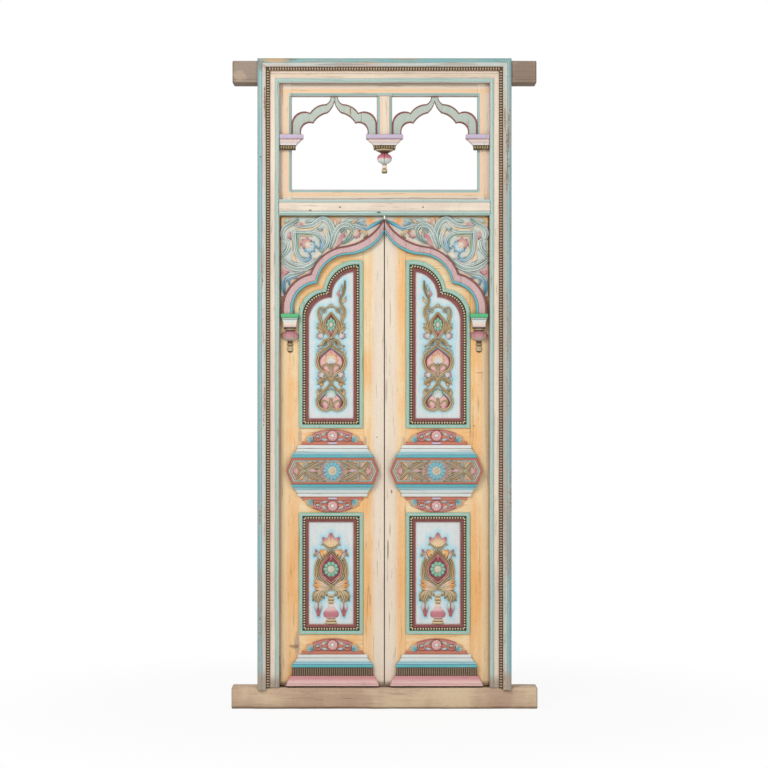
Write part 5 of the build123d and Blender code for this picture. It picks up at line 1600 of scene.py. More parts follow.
        # In each sash paint the umber band at the opening's edge is painted shade.
        stile = sash("sash stile paint", Way.UP, Band(out, 394, 421, ORANGE, 8.0, 0.4),
                     Band(out, 387.8, 397, TURQUOISE, 1.0, 0.7), Band(high, 2560, 2700, CREAM, 1.0, 0.95),
                     Band(high, 2560, 2578, ORANGE, 5.0, 0.5), Band(high, 2100, 2147, CREAM, 1.0, 0.95),
                     Band(high, 2132, 2146, ORANGE, 5.0, 0.5), Band(out, 380, 387.6, UMBER, 0.5, 0.6))
        dress(self.nodes, stile.material(), "left_sash_stile", "right_sash_stile")
        top_rail = sash("sash top rail paint", Way.ACROSS, Band(high, 2560, 2578, ORANGE, 5.0, 0.55),
                        Band(high, 2550.5, 2560, TURQUOISE, 1.0, 0.7), Band(high, 2540, 2549.6, UMBER, 0.5, 0.6),
                        Band(high, 2590, 2600, GREY_WOOD, 2.0, 0.4))
        dress(self.nodes, top_rail.material(), "sash_top_rail")
        bottom_rail = sash("sash bottom rail paint", Way.ACROSS, Band(high, 2132, 2146, ORANGE, 5.0, 0.55),
                           Band(high, 2147, 2156.5, TURQUOISE, 1.0, 0.7), Band(high, 2157.5, 2170, UMBER, 0.5, 0.6),
                           Band(high, 2118, 2122, DARK_WOOD, 1.0, 0.5))
        dress(self.nodes, bottom_rail.material(), "sash_bottom_rail")
        mullion = sash("sash mullion paint", Way.UP, Band(out, 8, 18, ORANGE, 4.0, 0.4),
                       Band(out, 19, 28.5, TURQUOISE, 1.0, 0.7), Band(out, 29.2, 40, UMBER, 0.5, 0.6))
        dress(self.nodes, mullion.material(), "sash_mullion")


# ---------------------------------------------------------------- the leaves

LEAF, ROUND, TRIPLE = Cut.LEAF, Cut.ROUND, Cut.TRIPLE

UPPER_ORNAMENT = Ornament(
    fullness=1.18,
    paired=(
        Field(((0, 100), (24, 74), (44, 50), (44, 26), (26, 14), (2, 22)), PALE_PINK, PINK),
        Stroke(((0, 96), (20, 74), (39, 55), (47, 36), (40, 20)), (3, 5, 5, 3), MAROON, cut=ROUND, rise=5),
        Stroke(((0, 118), (22, 93), (44, 73), (57, 52), (57, 30), (46, 13), (27, 5), (8, 9), (0, 20)),
               (8, 11, 12, 12, 11, 8), GOLD, KHAKI, rise=9),
        Stroke(((3, 20), (14, 36), (28, 46), (39, 41), (36, 30)), (6, 8, 8, 5), KHAKI, GOLD, rise=8),
        Stroke(((14, 20), (26, 16), (40, 24)), (6, 13, 5), PALE_PINK, ROSE, LEAF, 6),
        Stroke(((44, 66), (56, 78), (54, 95)), (5, 12, 3), KHAKI, GOLD, LEAF),
        Stroke(((34, 82), (44, 90), (43, 104)), (5, 10, 3), OLIVE, KHAKI, LEAF, 7),
        Stroke(((0, 126), (22, 138), (38, 133), (52, 119), (58, 112)), (8, 10, 11, 9, 4), GOLD, KHAKI, rise=9),
        Stroke(((24, 130), (34, 124), (38, 114)), (5, 8, 6), GOLD, OLIVE),
        Bloom((40, 113), 8, 5, DEEP_ORANGE, ORANGE, 9, 0.6),
        Stroke(((46, 134), (56, 130), (62, 140)), (4, 8, 3), MINT, WHITE, LEAF, 6),
        Fan((30, 151), 5, 84, 4, 29, 13, WHITE, PINK),
        Field(((0, 262), (24, 242), (44, 222), (48, 200), (40, 178), (18, 162), (0, 152)), PALE_PINK, PINK),
        Stroke(((0, 262), (26, 242), (44, 224), (50, 204), (45, 184)), (3, 5, 5, 3), MAROON, cut=ROUND, rise=5),
        Stroke(((0, 277), (18, 263), (42, 247), (54, 231), (59, 209), (55, 188), (45, 172), (24, 159), (7, 143),
                (0, 132)), (8, 11, 12, 12, 11, 8), GOLD, KHAKI, rise=9),
        Stroke(((2, 148), (4, 174), (14, 192), (28, 194), (36, 184), (34, 174)), (6, 8, 8, 5), KHAKI, GOLD, rise=9),
        Stroke(((8, 150), (20, 168), (32, 166)), (6, 9, 4), PALE_PINK, ROSE, LEAF, 7),
        Stroke(((30, 262), (42, 268), (53, 258)), (5, 10, 3), MINT, WHITE, LEAF, 7),
        Stroke(((47, 236), (58, 244), (57, 258)), (5, 10, 3), MINT, WHITE, LEAF, 7),
        Stroke(((0, 291), (18, 299), (31, 290), (40, 276), (58, 272)), (8, 10, 11, 9, 4), GOLD, KHAKI, rise=9),
        Stroke(((22, 292), (20, 282), (28, 274)), (5, 7, 4), OLIVE, KHAKI),
        Fan((33, 314), 4, 84, 4, 30, 13, WHITE, PINK),
        Stroke(((34, 326), (48, 338), (61, 351)), (7, 11, 4), KHAKI, GOLD, LEAF),
        Stroke(((32, 338), (46, 352), (60, 367)), (7, 11, 4), GOLD, KHAKI, LEAF),
        Stroke(((30, 322), (37, 345), (43, 372), (51, 398), (52, 420), (43, 433), (27, 429), (4, 439)),
               (7, 11, 12, 10, 9, 9, 8, 7), GOLD, KHAKI, rise=9),
        Stroke(((40, 368), (46, 390), (38, 408)), (5, 13, 4), OLIVE, KHAKI, LEAF),
        Stroke(((26, 430), (22, 420), (31, 413), (38, 419)), (5, 7, 7, 4), KHAKI, GOLD),
        Stroke(((0, 412), (13, 396), (24, 380), (28, 357), (21, 335), (7, 312), (0, 303)), (8, 10, 11, 10, 8), GOLD,
               KHAKI, rise=9),
        Stroke(((0, 399), (12, 382), (19, 359), (14, 336), (2, 317)), (5, 7, 7, 4), MAROON, RED, ROUND, 5),
        Stroke(((11, 336), (6, 324), (0, 315)), (4, 8, 4), PINK, ROSE, LEAF, 7),
    ),
    single=(
        Field(((0, 404), (-20, 368), (-18, 344), (0, 310), (18, 344), (20, 368)), PINK, MAROON),
        Bloom((0, 361), 21, 8, GREEN, HEART, 9, 0.4, 1.35),
        Fan((0, 197), 90, 118, 5, 50, 18, WHITE, ORANGE, 9),
        Stroke(((0, 146), (0, 172), (0, 200)), (6, 9, 7), KHAKI, GOLD, LEAF, 10),
        Fan((0, 54), 90, 110, 5, 44, 17, WHITE, SAGE, 8),
        Stroke(((0, 18), (0, 36), (0, 54)), (6, 9, 6), KHAKI, GOLD, LEAF, 10),
        Bloom((0, 288), 10, 5, KHAKI, OLIVE, 11, 0.6),
        Bloom((0, 125), 10, 5, KHAKI, OLIVE, 11, 0.6),
        Bloom((0, 441), 8, 5, GOLD, KHAKI, 10, 0.6),
        Stroke(((-44, 376), (-56, 402), (-55, 428), (-41, 448), (-37, 468), (-49, 488), (-56, 518), (-58, 546)),
               (7, 10, 10, 9, 8, 12, 4), GOLD, OLIVE),
        Stroke(((-40, 452), (-56, 462), (-63, 480)), (5, 12, 3), KHAKI, GOLD, LEAF, 6),
        Stroke(((-40, 474), (-30, 490), (-34, 506)), (5, 12, 3), PINK, PALE_PINK, LEAF, 6),
        Stroke(((-52, 498), (-40, 512), (-44, 530)), (5, 10, 3), MINT, WHITE, LEAF, 6),
    ),
)

LOWER_ORNAMENT = Ornament(
    fullness=1.18,
    paired=(
        Stroke(((0, 291), (18, 272), (36, 250), (41, 224), (36, 204), (18, 186), (0, 172)), (5, 8, 8, 8, 5), ROSE, PINK,
               ROUND, 6),
        Stroke(((0, 308), (22, 283), (44, 256), (51, 224), (46, 200), (22, 176), (0, 158)), (9, 12, 12, 12, 9), GOLD,
               KHAKI, TRIPLE, 9),
        Stroke(((50, 280), (60, 254), (64, 224), (63, 200), (56, 182), (36, 166), (8, 152)), (8, 11, 12, 11, 8), GOLD,
               KHAKI),
        Stroke(((48, 280), (56, 294), (67, 292), (70, 282)), (7, 9, 9, 4), KHAKI, GOLD),
        Stroke(((43, 270), (52, 290), (65, 311)), (7, 12, 5), WHITE, ROSE, LEAF, 9),
        Stroke(((35, 280), (37, 296), (42, 311)), (7, 17, 9), ORANGE, DEEP_ORANGE, LEAF),
        Stroke(((24, 290), (24, 302), (22, 312)), (7, 15, 8), WARM_CREAM, ORANGE, LEAF),
        Bloom((31, 248), 6, 5, PINK, ROSE, 8, 0.5),
        Bloom((34, 208), 6, 5, ROSE, PINK, 8, 0.5),
        Bloom((15, 184), 6, 5, PINK, ROSE, 8, 0.5),
        Stroke(((12, 154), (42, 170), (70, 182)), (9, 18, 9), PINK_CREAM, DEEP_ORANGE, LEAF, 9),
        Stroke(((12, 150), (42, 158), (73, 165)), (9, 18, 9), BEIGE, DEEP_ORANGE, LEAF, 9),
        Stroke(((14, 146), (42, 147), (68, 148)), (8, 16, 6), PINK_CREAM, ORANGE, LEAF),
        Stroke(((8, 146), (34, 140), (49, 122), (55, 102), (53, 84)), (8, 13, 14, 12, 7), KHAKI, GOLD, rise=9),
        Stroke(((44, 140), (60, 130), (70, 114), (76, 96)), (7, 12, 11, 4), KHAKI, OLIVE, LEAF),
        Stroke(((56, 138), (70, 130), (79, 116)), (6, 10, 4), OLIVE, KHAKI, LEAF, 7),
        Stroke(((52, 124), (64, 112), (66, 94)), (6, 10, 4), OLIVE, KHAKI, LEAF, 7),
        Stroke(((40, 130), (43, 112), (40, 98)), (5, 10, 4), OLIVE, KHAKI, LEAF, 7),
        Stroke(((30, 138), (34, 122), (28, 106)), (5, 11, 4), KHAKI, OLIVE, LEAF, 7),
        Stroke(((20, 142), (22, 128), (15, 118)), (5, 10, 4), KHAKI, OLIVE, LEAF, 7),
        Stroke(((50, 92), (45, 70), (48, 48)), (7, 13, 5), WHITE, ROSE, LEAF),
        Stroke(((57, 92), (62, 70), (58, 48)), (7, 13, 5), WHITE, ROSE, LEAF),
        Stroke(((53, 62), (53, 46), (53, 33)), (8, 13, 9), ROSE, RED, LEAF, 9),
        Stroke(((4, 321), (18, 324), (30, 336), (40, 330)), (7, 9, 9, 4), GOLD, KHAKI),
        Stroke(((6, 326), (22, 343), (34, 362)), (12, 21, 7), WARM_CREAM, ROSE, LEAF, 9),
    ),
    single=(
        Field(((0, 298), (24, 268), (44, 236), (34, 200), (0, 164), (-34, 200), (-44, 236), (-24, 268)), MAROON,
              DARK_MAROON),
        Stroke(((0, 322), (0, 350), (0, 380)), (15, 31, 8), WARM_CREAM, ROSE, LEAF, 11),
        Stroke(((0, 296), (0, 284), (0, 264)), (5, 13, 5), PINK, ROSE, LEAF),
        Bloom((0, 229), 32, 10, GREEN, HEART, 10, 0.5),
        Bloom((0, 316), 11, 5, KHAKI, OLIVE, 10, 0.6),
        Bloom((0, 150), 11, 5, KHAKI, OLIVE, 10, 0.6),
    ),
)

SPANDREL_ORNAMENT = Ornament(
    fullness=1.18,
    single=(
        Stroke(((52, 60), (92, 60), (129, 62), (153, 71), (168, 86), (175, 104), (172, 124), (158, 142)),
               (11, 12, 12, 12, 8), SCROLL, LIGHT_BLUE),
        Stroke(((55, 57), (57, 90), (58, 120), (62, 146), (71, 162), (86, 174), (104, 180), (124, 176)),
               (11, 12, 12, 12, 8), SCROLL, LIGHT_BLUE),
        Stroke(((68, 68), (100, 68), (130, 70), (148, 78), (160, 92), (165, 106)), (5, 6, 6, 4), SAGE, cut=ROUND,
               rise=6),
        Stroke(((68, 66), (67, 96), (67, 124), (72, 147), (83, 162), (100, 169)), (5, 6, 6, 4), SAGE, cut=ROUND,
               rise=6),
        Stroke(((78, 78), (104, 77), (130, 80)), (4, 6, 4), BEIGE, cut=ROUND, rise=4),
        Stroke(((77, 80), (76, 104), (77, 130)), (4, 6, 4), BEIGE, cut=ROUND, rise=4),
        Fan((111, 115), 225, 170, 5, 35, 16, PALE_PINK, PINK, 9),
        Fan((111, 115), 45, 150, 5, 42, 17, WHITE, SKY, 9),
        Bloom((111, 115), 18, 6, BEIGE, PINK_CREAM, 12, 0.7),
        Stroke(((100, 168), (108, 174), (120, 166), (122, 154)), (5, 8, 8, 4), LIGHT_BLUE, SKY),
        Stroke(((160, 104), (167, 114), (160, 126), (150, 130)), (5, 8, 8, 4), LIGHT_BLUE, SKY),
        Stroke(((9, 94), (3, 68), (16, 43), (46, 25), (72, 8)), (8, 16, 18, 15, 9), SCROLL, MINT, TRIPLE),
        Stroke(((56, 34), (95, 37), (128, 32), (150, 18), (171, 6), (195, 16), (210, 40), (217, 69), (214, 98),
                (203, 128)),
               (10, 17, 20, 22, 24, 22, 12), SCROLL, MINT, TRIPLE, 9),
        Stroke(((62, 49), (95, 51), (130, 48), (152, 34), (168, 22)), (6, 8, 8, 5), WARM_CREAM, CREAM, ROUND, 5),
        Stroke(((174, 42), (191, 66), (196, 92), (188, 118), (166, 146)), (9, 15, 17, 14, 9), SCROLL, MINT),
        Stroke(((176, 50), (186, 60), (184, 78)), (7, 15, 6), WARM_CREAM, CREAM, LEAF, 9),
        Stroke(((150, 46), (162, 54), (172, 46)), (5, 9, 5), MINT, LIGHT_BLUE),
        Stroke(((66, 32), (78, 29), (94, 34)), (8, 15, 6), PALE_PINK, PINK, LEAF, 9),
        Stroke(((36, 60), (34, 76), (40, 92)), (6, 13, 5), PALE_PINK, PINK, LEAF),
        Stroke(((42, 94), (44, 116), (44, 140)), (4, 8, 5), WARM_CREAM, CREAM, ROUND, 5),
        Stroke(((24, 88), (34, 104), (31, 126), (20, 146), (3, 162)), (8, 15, 16, 14, 9), SCROLL, MINT),
        Stroke(((8, 104), (14, 124), (6, 144)), (5, 12, 4), MINT, SCROLL, LEAF, 7),
        Stroke(((0, 178), (18, 196), (44, 211), (72, 217), (100, 214), (129, 199), (150, 179), (171, 158)),
               (9, 17, 19, 20, 18, 11), SCROLL, MINT, TRIPLE, 9),
        Stroke(((8, 168), (33, 184), (69, 199), (98, 199), (122, 188), (138, 170)), (6, 11, 13, 13, 8), SCROLL, WHITE),
        Stroke(((48, 152), (52, 172), (64, 188)), (6, 14, 6), WARM_CREAM, CREAM, LEAF, 7),
        Stroke(((98, 226), (67, 236), (36, 242), (16, 258), (8, 284), (14, 324)), (6, 13, 17, 16, 14, 6), SCROLL, SKY,
               TRIPLE, 9),
        Stroke(((14, 268), (10, 292), (13, 320)), (6, 12, 5), SKY, DEEP_TURQUOISE, LEAF, 11),
        Stroke(((72, 254), (46, 250), (32, 262), (34, 282)), (5, 10, 10, 5), LIGHT_BLUE, SKY),
        Stroke(((32, 226), (18, 232), (6, 228)), (5, 12, 5), PINK, PALE_PINK, LEAF, 6),
        Stroke(((203, 130), (210, 105), (217, 83), (225, 63), (236, 46), (249, 36), (263, 31), (277, 32), (289, 40),
                (296, 52), (297, 67), (291, 84), (277, 98), (252, 109)), (8, 17, 19, 19, 18, 16, 13, 7), SCROLL, MINT,
               TRIPLE, 9),
        Stroke(((248, 64), (260, 48), (271, 43), (272, 55), (264, 62)), (5, 9, 9, 4), MINT, SCROLL),
        Stroke(((275, 48), (281, 60), (278, 76)), (6, 13, 5), WARM_CREAM, CREAM, LEAF),
        Stroke(((264, 68), (252, 84), (241, 106), (226, 126)), (8, 18, 15, 5), PINK, PALE_PINK, LEAF),
        Stroke(((276, 80), (262, 92), (246, 98)), (6, 12, 5), MINT, SCROLL, LEAF, 7),
        Fan((300, 58), 42, 96, 5, 38, 13, PINK_CREAM, PINK),
        Stroke(((330, 56), (347, 61), (353, 74), (342, 86)), (7, 13, 11, 4), WARM_CREAM, BEIGE),
        Stroke(((290, 34), (314, 37), (336, 44), (358, 50)), (8, 15, 15, 7), SCROLL, LIGHT_BLUE, TRIPLE),
        Stroke(((294, 27), (306, 15), (320, 8)), (5, 10, 5), WARM_CREAM, PALE_PINK, LEAF, 7),
        Stroke(((258, 22), (280, 14), (302, 9)), (6, 15, 6), MINT, SCROLL, LEAF),
        Stroke(((312, 22), (330, 14), (348, 14)), (6, 14, 6), MINT, SCROLL, LEAF),
        Stroke(((324, 28), (340, 25), (354, 34)), (6, 12, 5), LIGHT_BLUE, SCROLL),
        Stroke(((354, 52), (371, 39), (393, 27), (419, 14)), (6, 11, 12, 8), SKY, DEEP_TURQUOISE, ROUND, 9),
        Stroke(((222, 34), (225, 20), (219, 6)), (6, 12, 5), PINK_CREAM, PALE_PINK, LEAF, 6),
        Stroke(((240, 26), (243, 15), (240, 5)), (6, 12, 5), PALE_PINK, CREAM, LEAF, 6),
        Stroke(((100, 18), (122, 14), (144, 6)), (6, 14, 5), MINT, SCROLL, LEAF, 7),
        Stroke(((12, 24), (22, 14), (40, 8)), (6, 13, 5), MINT, SCROLL, LEAF, 6),
        Stroke(((212, 132), (224, 146), (238, 138)), (6, 14, 6), PINK_CREAM, CREAM, LEAF, 6),
    ),
)

BELT_STRAPS = Ornament(
    paired=(
        Stroke(((116, -4), (98, 8), (78, 20), (52, 33), (28, 41)), (8, 10, 10, 9, 6), KHAKI, BEIGE, TRIPLE, 6),
        Stroke(((108, -1), (90, 4), (70, 13), (50, 23), (38, 30)), (4, 6, 6, 4), KHAKI, MINT, rise=5),
        Stroke(((114, 10), (98, 22), (80, 33), (60, 42)), (4, 6, 6, 4), KHAKI, GOLD, rise=5),
        Stroke(((118, -4), (133, 14), (151, 34)), (8, 11, 6), KHAKI, BEIGE, TRIPLE, 6),
        Stroke(((124, 0), (141, 11), (157, 22)), (5, 7, 4), GOLD, KHAKI, rise=5),
        Stroke(((119, 14), (128, 28), (142, 39)), (6, 11, 5), KHAKI, ORANGE, LEAF, 6),
        Stroke(((111, 18), (106, 29), (110, 40)), (5, 9, 4), MINT, WHITE, LEAF, 7),
        Stroke(((44, 8), (58, 14), (68, 6)), (6, 9, 5), KHAKI, OLIVE, rise=6),
        Stroke(((82, 41), (97, 35), (106, 40)), (4, 8, 4), KHAKI, DEEP_ORANGE, LEAF, 6),
    )
)
BELT_FLOWERS = Ornament(
    paired=(
        Fan((141, 0), 0, 112, 4, 28, 12, PALE_PINK, PINK, 7),
        Stroke(((64, 0), (84, 2), (102, 0)), (6, 14, 5), PALE_PINK, Coat.LAVENDER, LEAF, 7),
        Bloom((41, 18), 8, 5, PALE_PINK, PINK, 6, 0.5),
        Bloom((43, -3), 8, 5, PALE_PINK, PINK, 6, 0.5),
        Bloom((39, -23), 8, 5, PALE_PINK, PINK, 6, 0.5),
        Bloom((117, 0), 8, 5, KHAKI, SAGE, 9, 0.6),
    ),
    single=(
        Bloom((0, 0), 39, 13, Coat.PETAL_BLUE, HEART, 7, 0.48),
        Bloom((0, 1), 13, 6, HEART, BEIGE, 10, 0.7),
    ),
)

FRIEZE_ORNAMENT = Ornament(
    paired=(
        Stroke(((75, 19), (71, 29), (62, 33), (52, 29), (48, 19), (52, 9), (62, 5), (71, 9), (76, 19)), (8, 8), PINK,
               RED, ROUND, 6),
        Stroke(((51, 19), (60, 22), (70, 18)), (4, 11, 4), MINT, WHITE, LEAF, 6),
        Stroke(((46, 26), (35, 32), (22, 37)), (5, 10, 4), WHITE, MINT, LEAF, 6),
        Stroke(((46, 12), (34, 8), (22, 7)), (5, 10, 4), LIGHT_BLUE, WHITE, LEAF, 6),
        Fan((82, 2), 38, 100, 5, 32, 10, TURQUOISE, WHITE, 6),
    ),
    single=(
        Bloom((0, 24.5), 25, 12, MAROON, PINK, 5, 0.85),
        Bloom((0, 24.5), 20, 9, PALE_PINK, WHITE, 8, 0.4),
    ),
)


@dataclass(frozen=True)
class ArchLine:
    """One line of the cusped arch on a leaf: an ogee curve, an upper lobe and a lower lobe."""

    ogee: Point
    upper_radius: float
    lower_radius: float
    upper: Point = (147.0, TRIM_TOP - 291.0)
    lower: Point = (276.5, TRIM_TOP - 380.0)
    meeting: float = 2.5

    def trace(self, steps: int, turn: float = 0.0) -> Array:
        """Places along the line, the same count on each of its three arcs.

        Args:
            steps: How many steps each arc is cut into.
            turn: Where the lower lobe ends, in degrees above level.

        Returns:
            Places from the meeting edge outwards.
        """
        reach = math.hypot(self.ogee[0] - self.upper[0], self.ogee[1] - self.upper[1]) - self.upper_radius
        start = (self.meeting, self.ogee[1] - math.sqrt(reach**2 - (self.ogee[0] - self.meeting) ** 2))
        share = self.upper_radius / (reach + self.upper_radius)
        touch = tuple(np.add(self.upper, np.subtract(self.ogee, self.upper) * share))
        cusp = crossing(self.upper, self.upper_radius, self.lower, self.lower_radius)
        angle = math.radians(turn)
        foot = tuple(np.add(self.lower, (self.lower_radius * math.cos(angle), self.lower_radius * math.sin(angle))))
        return np.vstack([
            arc(self.ogee, start, touch, steps)[:-1],
            arc(self.upper, touch, cusp, steps)[:-1],
            arc(self.lower, cusp, foot, steps),
        ])


OUTER_LINE = ArchLine((202.0, TRIM_TOP + 105.0), 172.0, 150.0)
INNER_LINE = ArchLine((159.0, TRIM_TOP + 22.0), 135.0, 105.0)


def inset(outline: Array, distance: float) -> Array:
    """A closed line drawn inwards: shrunk about its middle so that its box loses the distance on every side.

    Args:
        outline: Places along the line.
        distance: How far in, in millimetres.

    Returns:
        The matching places, drawn in.
    """
    low, high = outline.min(0), outline.max(0)
    middle, half = (low + high) / 2, (high - low) / 2
    return middle + (outline - middle) * (1 - distance / half)


def plate(outline: Array, back: float, layers: list[tuple[float, float, Coat, float]]) -> Shell:
    """A flat plate whose front steps in from its rim: each layer is the outline drawn in to its own Y.

    Args:
        outline: Places in counter-clockwise order, seen with Z up and X to the right.
        back: The Y of its back.
        layers: How far in, Y, colour, and soiling with painted shade.

    Returns:
        A closed skin.
    """
    lines = [outline] + [inset(outline, layer[0]) for layer in layers]
    depths = [back] + [layer[1] for layer in layers]
    rings = np.stack([standing(line, y) for line, y in zip(lines, depths)])
    tint = np.array([layers[0][2].light] + [layer[2].light for layer in layers])[:, None]
    grime = np.array([1.0] + [layer[3] for layer in layers])[:, None]
    return tube(rings, tint, grime)


def cornice_rows(z: float, up: float) -> list[Row]:
    """A cornice from its broad band to its narrow fillet.

    Args:
        z: Where the band starts.
        up: 1 where it narrows upwards, -1 downwards.

    Returns:
        Its rows.
    """
    # The umber rows sit in the cornice's grooves: painted shade with soiling.
    steps = (
        (167, 21, 0.0, DEEP_TURQUOISE, 0.6), (168, 22, 1.2, Coat.BRIGHT_TURQUOISE, 0.0),
        (168, 22, 9.5, Coat.BRIGHT_TURQUOISE, 0.0), (167.4, 21.4, 12.4, DEEP_TURQUOISE, 0.4),
        (166, 20.4, 13.6, UMBER, 0.8), (165, 20, 15.0, LIGHT_BLUE, 0.1), (159, 17.6, 20.0, TURQUOISE, 0.1),
        (154, 15.8, 26.0, PALE_BLUE, 0.0), (149, 14.2, 33.0, WHITE, 0.0), (146, 13.2, 37.0, WHITE, 0.1),
        (144.4, 12.2, 38.4, UMBER, 0.9), (146.0, 13.2, 39.8, WHITE, 0.1), (145.0, 13, 49.0, Coat.PANEL_WHITE, 0.0),
        (141, 11.6, 52.5, CREAM, 0.4), (128, 6.6, 53.0, UMBER, 0.9), (127, 6, 55.0, RED, 0.1),
        (127, 6, 66.0, RED, 0.2), (126, 5, 67.0, MAROON, 0.6),
    )
    return [(half, depth, z + up * rise, coat, grime) for half, depth, rise, coat, grime in steps]


@dataclass
class Leaf:
    """One leaf's timbers, panels, mouldings and carvings, drawn on the right and mirrored for the left."""

    nodes: dict[str, bpy.types.Object]
    side: Side
    finishes: dict[str, bpy.types.Material] = field(default_factory=dict)
    panel_middle: float = 222.75
    face_middle: float = 216.25
    far_edge: float = 430.0
    opening: tuple[float, float] = (90.0, 355.5)
    ground_span: tuple[float, float] = (80.0, 365.5)
    upper_ground: tuple[float, float] = (1156.0, 1877.0)
    lower_ground: tuple[float, float] = (297.5, 823.0)
    upper_ornament_foot: float = 1235.0
    lower_ornament_foot: float = 347.5
    moulding_width: float = 40.0
    bead_share: float = 0.53
    bead_seat: float = -11.8
    bead_pitch: float = 11.0
    upper_counts: tuple[int, ...] = (30, 56, 34, 40, 80)
    lower_counts: tuple[int, ...] = (30, 30, 30, 30)
    upper_foot: float = 1166.0
    lower_span: tuple[float, float] = (307.5, 813.0)
    belt_middle: float = 987.5
    belt_half_height: float = 54.5
    plinth_foot: float = 94.0
    arch_foot: float = 1641.0
    corbel_middle: float = 393.0
    frieze_feet: tuple[Point, ...] = ((1109.0, 1.0), (866.0, -1.0), (238.0, 1.0))
    diamond_pitch: float = 13.0
    diamond_depth: float = 1.5

    def build(self) -> None:
        """Makes every carved piece of the leaf, then paints its timbers."""
        upper_place = (self.panel_middle, self.upper_ornament_foot)
        lower_place = (self.panel_middle, self.lower_ornament_foot)
        upper_sheet = self.ground(*self.upper_ground, rows=170, trace=UPPER_ORNAMENT.trace(*upper_place))
        lower_sheet = self.ground(*self.lower_ground, rows=124, trace=LOWER_ORNAMENT.trace(*lower_place))
        self.add("upper_panel", [upper_sheet], "panel_paint", "panel")
        self.add("lower_panel", [lower_sheet], "panel_paint", "panel")
        self.add("upper_moulding", self.moulding(self.upper_line, self.upper_counts), "moulding_paint", "moulding")
        self.add("lower_moulding", self.moulding(self.lower_line, self.lower_counts), "moulding_paint", "moulding")
        upper = UPPER_ORNAMENT.shells(*upper_place, PANEL_FACE)
        self.add("upper_carving", upper, "carving_paint", "carving")
        lower = LOWER_ORNAMENT.shells(*lower_place, PANEL_FACE) + [self.vase()]
        self.add("lower_carving", lower, "carving_paint", "carving")
        self.add("arch_band", [self.arch_band()], "band_paint", "band")
        self.add("spandrel", self.spandrel(), "spandrel_paint", "spandrel")
        self.add("arch_corbel", self.corbel(), "arch_paint", "carving")
        self.add("belt", self.belt(), "belt_paint", "belt")
        self.add("frieze_carvings", self.friezes(), "belt_paint", "belt")
        self.add("plinth", self.plinth(), "plinth_paint", "belt")
        if self.side is Side.LEFT:
            make_piece("leaf_lap", [self.lap()], self.side.leaf, (), self.finishes["lap"])
        parts = ("hanging_stile", "meeting_stile")
        dress(self.nodes, self.finishes["stile"], *(f"{self.side.value}_{part}" for part in parts))
        parts = ("top_rail", "lock_rail", "bottom_rail")
        dress(self.nodes, self.finishes["rail"], *(f"{self.side.value}_{part}" for part in parts))

    @staticmethod
    def lap() -> Shell:
        """The thin strip on the left leaf's edge that closes the joint between the leaves, painted dark as the shade in
        that joint.

        Returns:
            A closed skin.
        """
        near, far, front, back, foot, head = -2.6, 1.9, -4.0, 12.0, 95.0, 2037.0
        ring = ((near, front), (far, front), (far, back), (near, back))
        rings = np.array([[(*corner, z) for corner in ring] for z in np.linspace(foot, head, 20)])
        return tube(rings, UMBER.light, 0.6)

    def add(self, part: str, shells: list[Shell], slot: str, finish: str) -> None:
        """Makes one piece on its own side of the door, in place of the CAD node of the same name.

        Args:
            part: The piece's name without its side.
            shells: Its skins, drawn on the right.
            slot: Not used.
            finish: Which of the leaf's finishes it gets.
        """
        if self.side is Side.LEFT:
            shells = [shell.mirrored() for shell in shells]
        node = f"{self.side.value}_{part}"
        make_piece(f"{node}_carved", shells, self.side.leaf, (node,), self.finishes[finish])

    def ground(self, low: float, high: float, rows: int, trace: Array) -> Shell:
        """A panel whose paint turns light blue near its ornament.

        The blue is a bell curve of the distance from each place on the front grid to the nearest ribbon.

        Args:
            low: Its foot.
            high: Its head.
            rows: How many rows of places it has.
            trace: Places along the ornament.

        Returns:
            A closed skin.
        """
        x = np.linspace(*self.ground_span, 68)
        z = np.linspace(low, high, rows)
        spots = np.stack(np.meshgrid(x, z), -1)
        away = np.full(spots.shape[:2], np.inf)
        for part in np.array_split(trace, max(1, len(trace) // 60)):
            gap = np.hypot(spots[..., None, 0] - part[:, 0], spots[..., None, 1] - part[:, 1])
            away = np.minimum(away, gap.min(-1))
        halo = 0.95 * np.exp(-((np.maximum(away - 4, 0) / 14.5) ** 2))
        front = np.concatenate([spots[..., :1], np.full((*spots.shape[:2], 1), PANEL_FACE), spots[..., 1:]], -1)
        back = front[:, [-1, 0]].copy()
        back[..., 1] = 9.0
        tint = blend(Coat.PANEL_WHITE.light, Coat.HALO_BLUE.light, halo)
        tint = np.concatenate([tint, np.broadcast_to(Coat.PANEL_WHITE.light, (rows, 2, 3))], 1)
        return tube(np.concatenate([front, back], 1), tint, 0.0)

    def upper_line(self, share: float) -> Array:
        """The closed line of the upper panel's moulding at a share of its width, from its lower near corner.

        Args:
            share: 0 at the outer edge, 1 at the inner.

        Returns:
            Places along the line.
        """
        low, high = self.opening[0] + self.moulding_width * share, self.opening[1] - self.moulding_width * share
        foot = self.upper_foot + self.moulding_width * share
        counts = self.upper_counts
        upper = (118.0, TRIM_TOP - 315 - 13 * share)
        upper_radius, lower_radius = 137 - 35 * share, 103 - 6.5 * share
        lower = (high - lower_radius, TRIM_TOP - 402 - 27 * share)
        cusp = crossing(upper, upper_radius, lower, lower_radius)
        end = (low, upper[1] + math.sqrt(upper_radius**2 - (upper[0] - low) ** 2))
        return np.vstack([
            run((low, foot), (high, foot), steps=counts[0]), run((high, foot), (high, lower[1]), steps=counts[1]),
            arc(lower, (high, lower[1]), cusp, counts[2])[:-1], arc(upper, cusp, end, counts[3])[:-1],
            run(end, (low, foot), steps=counts[4]),
        ])

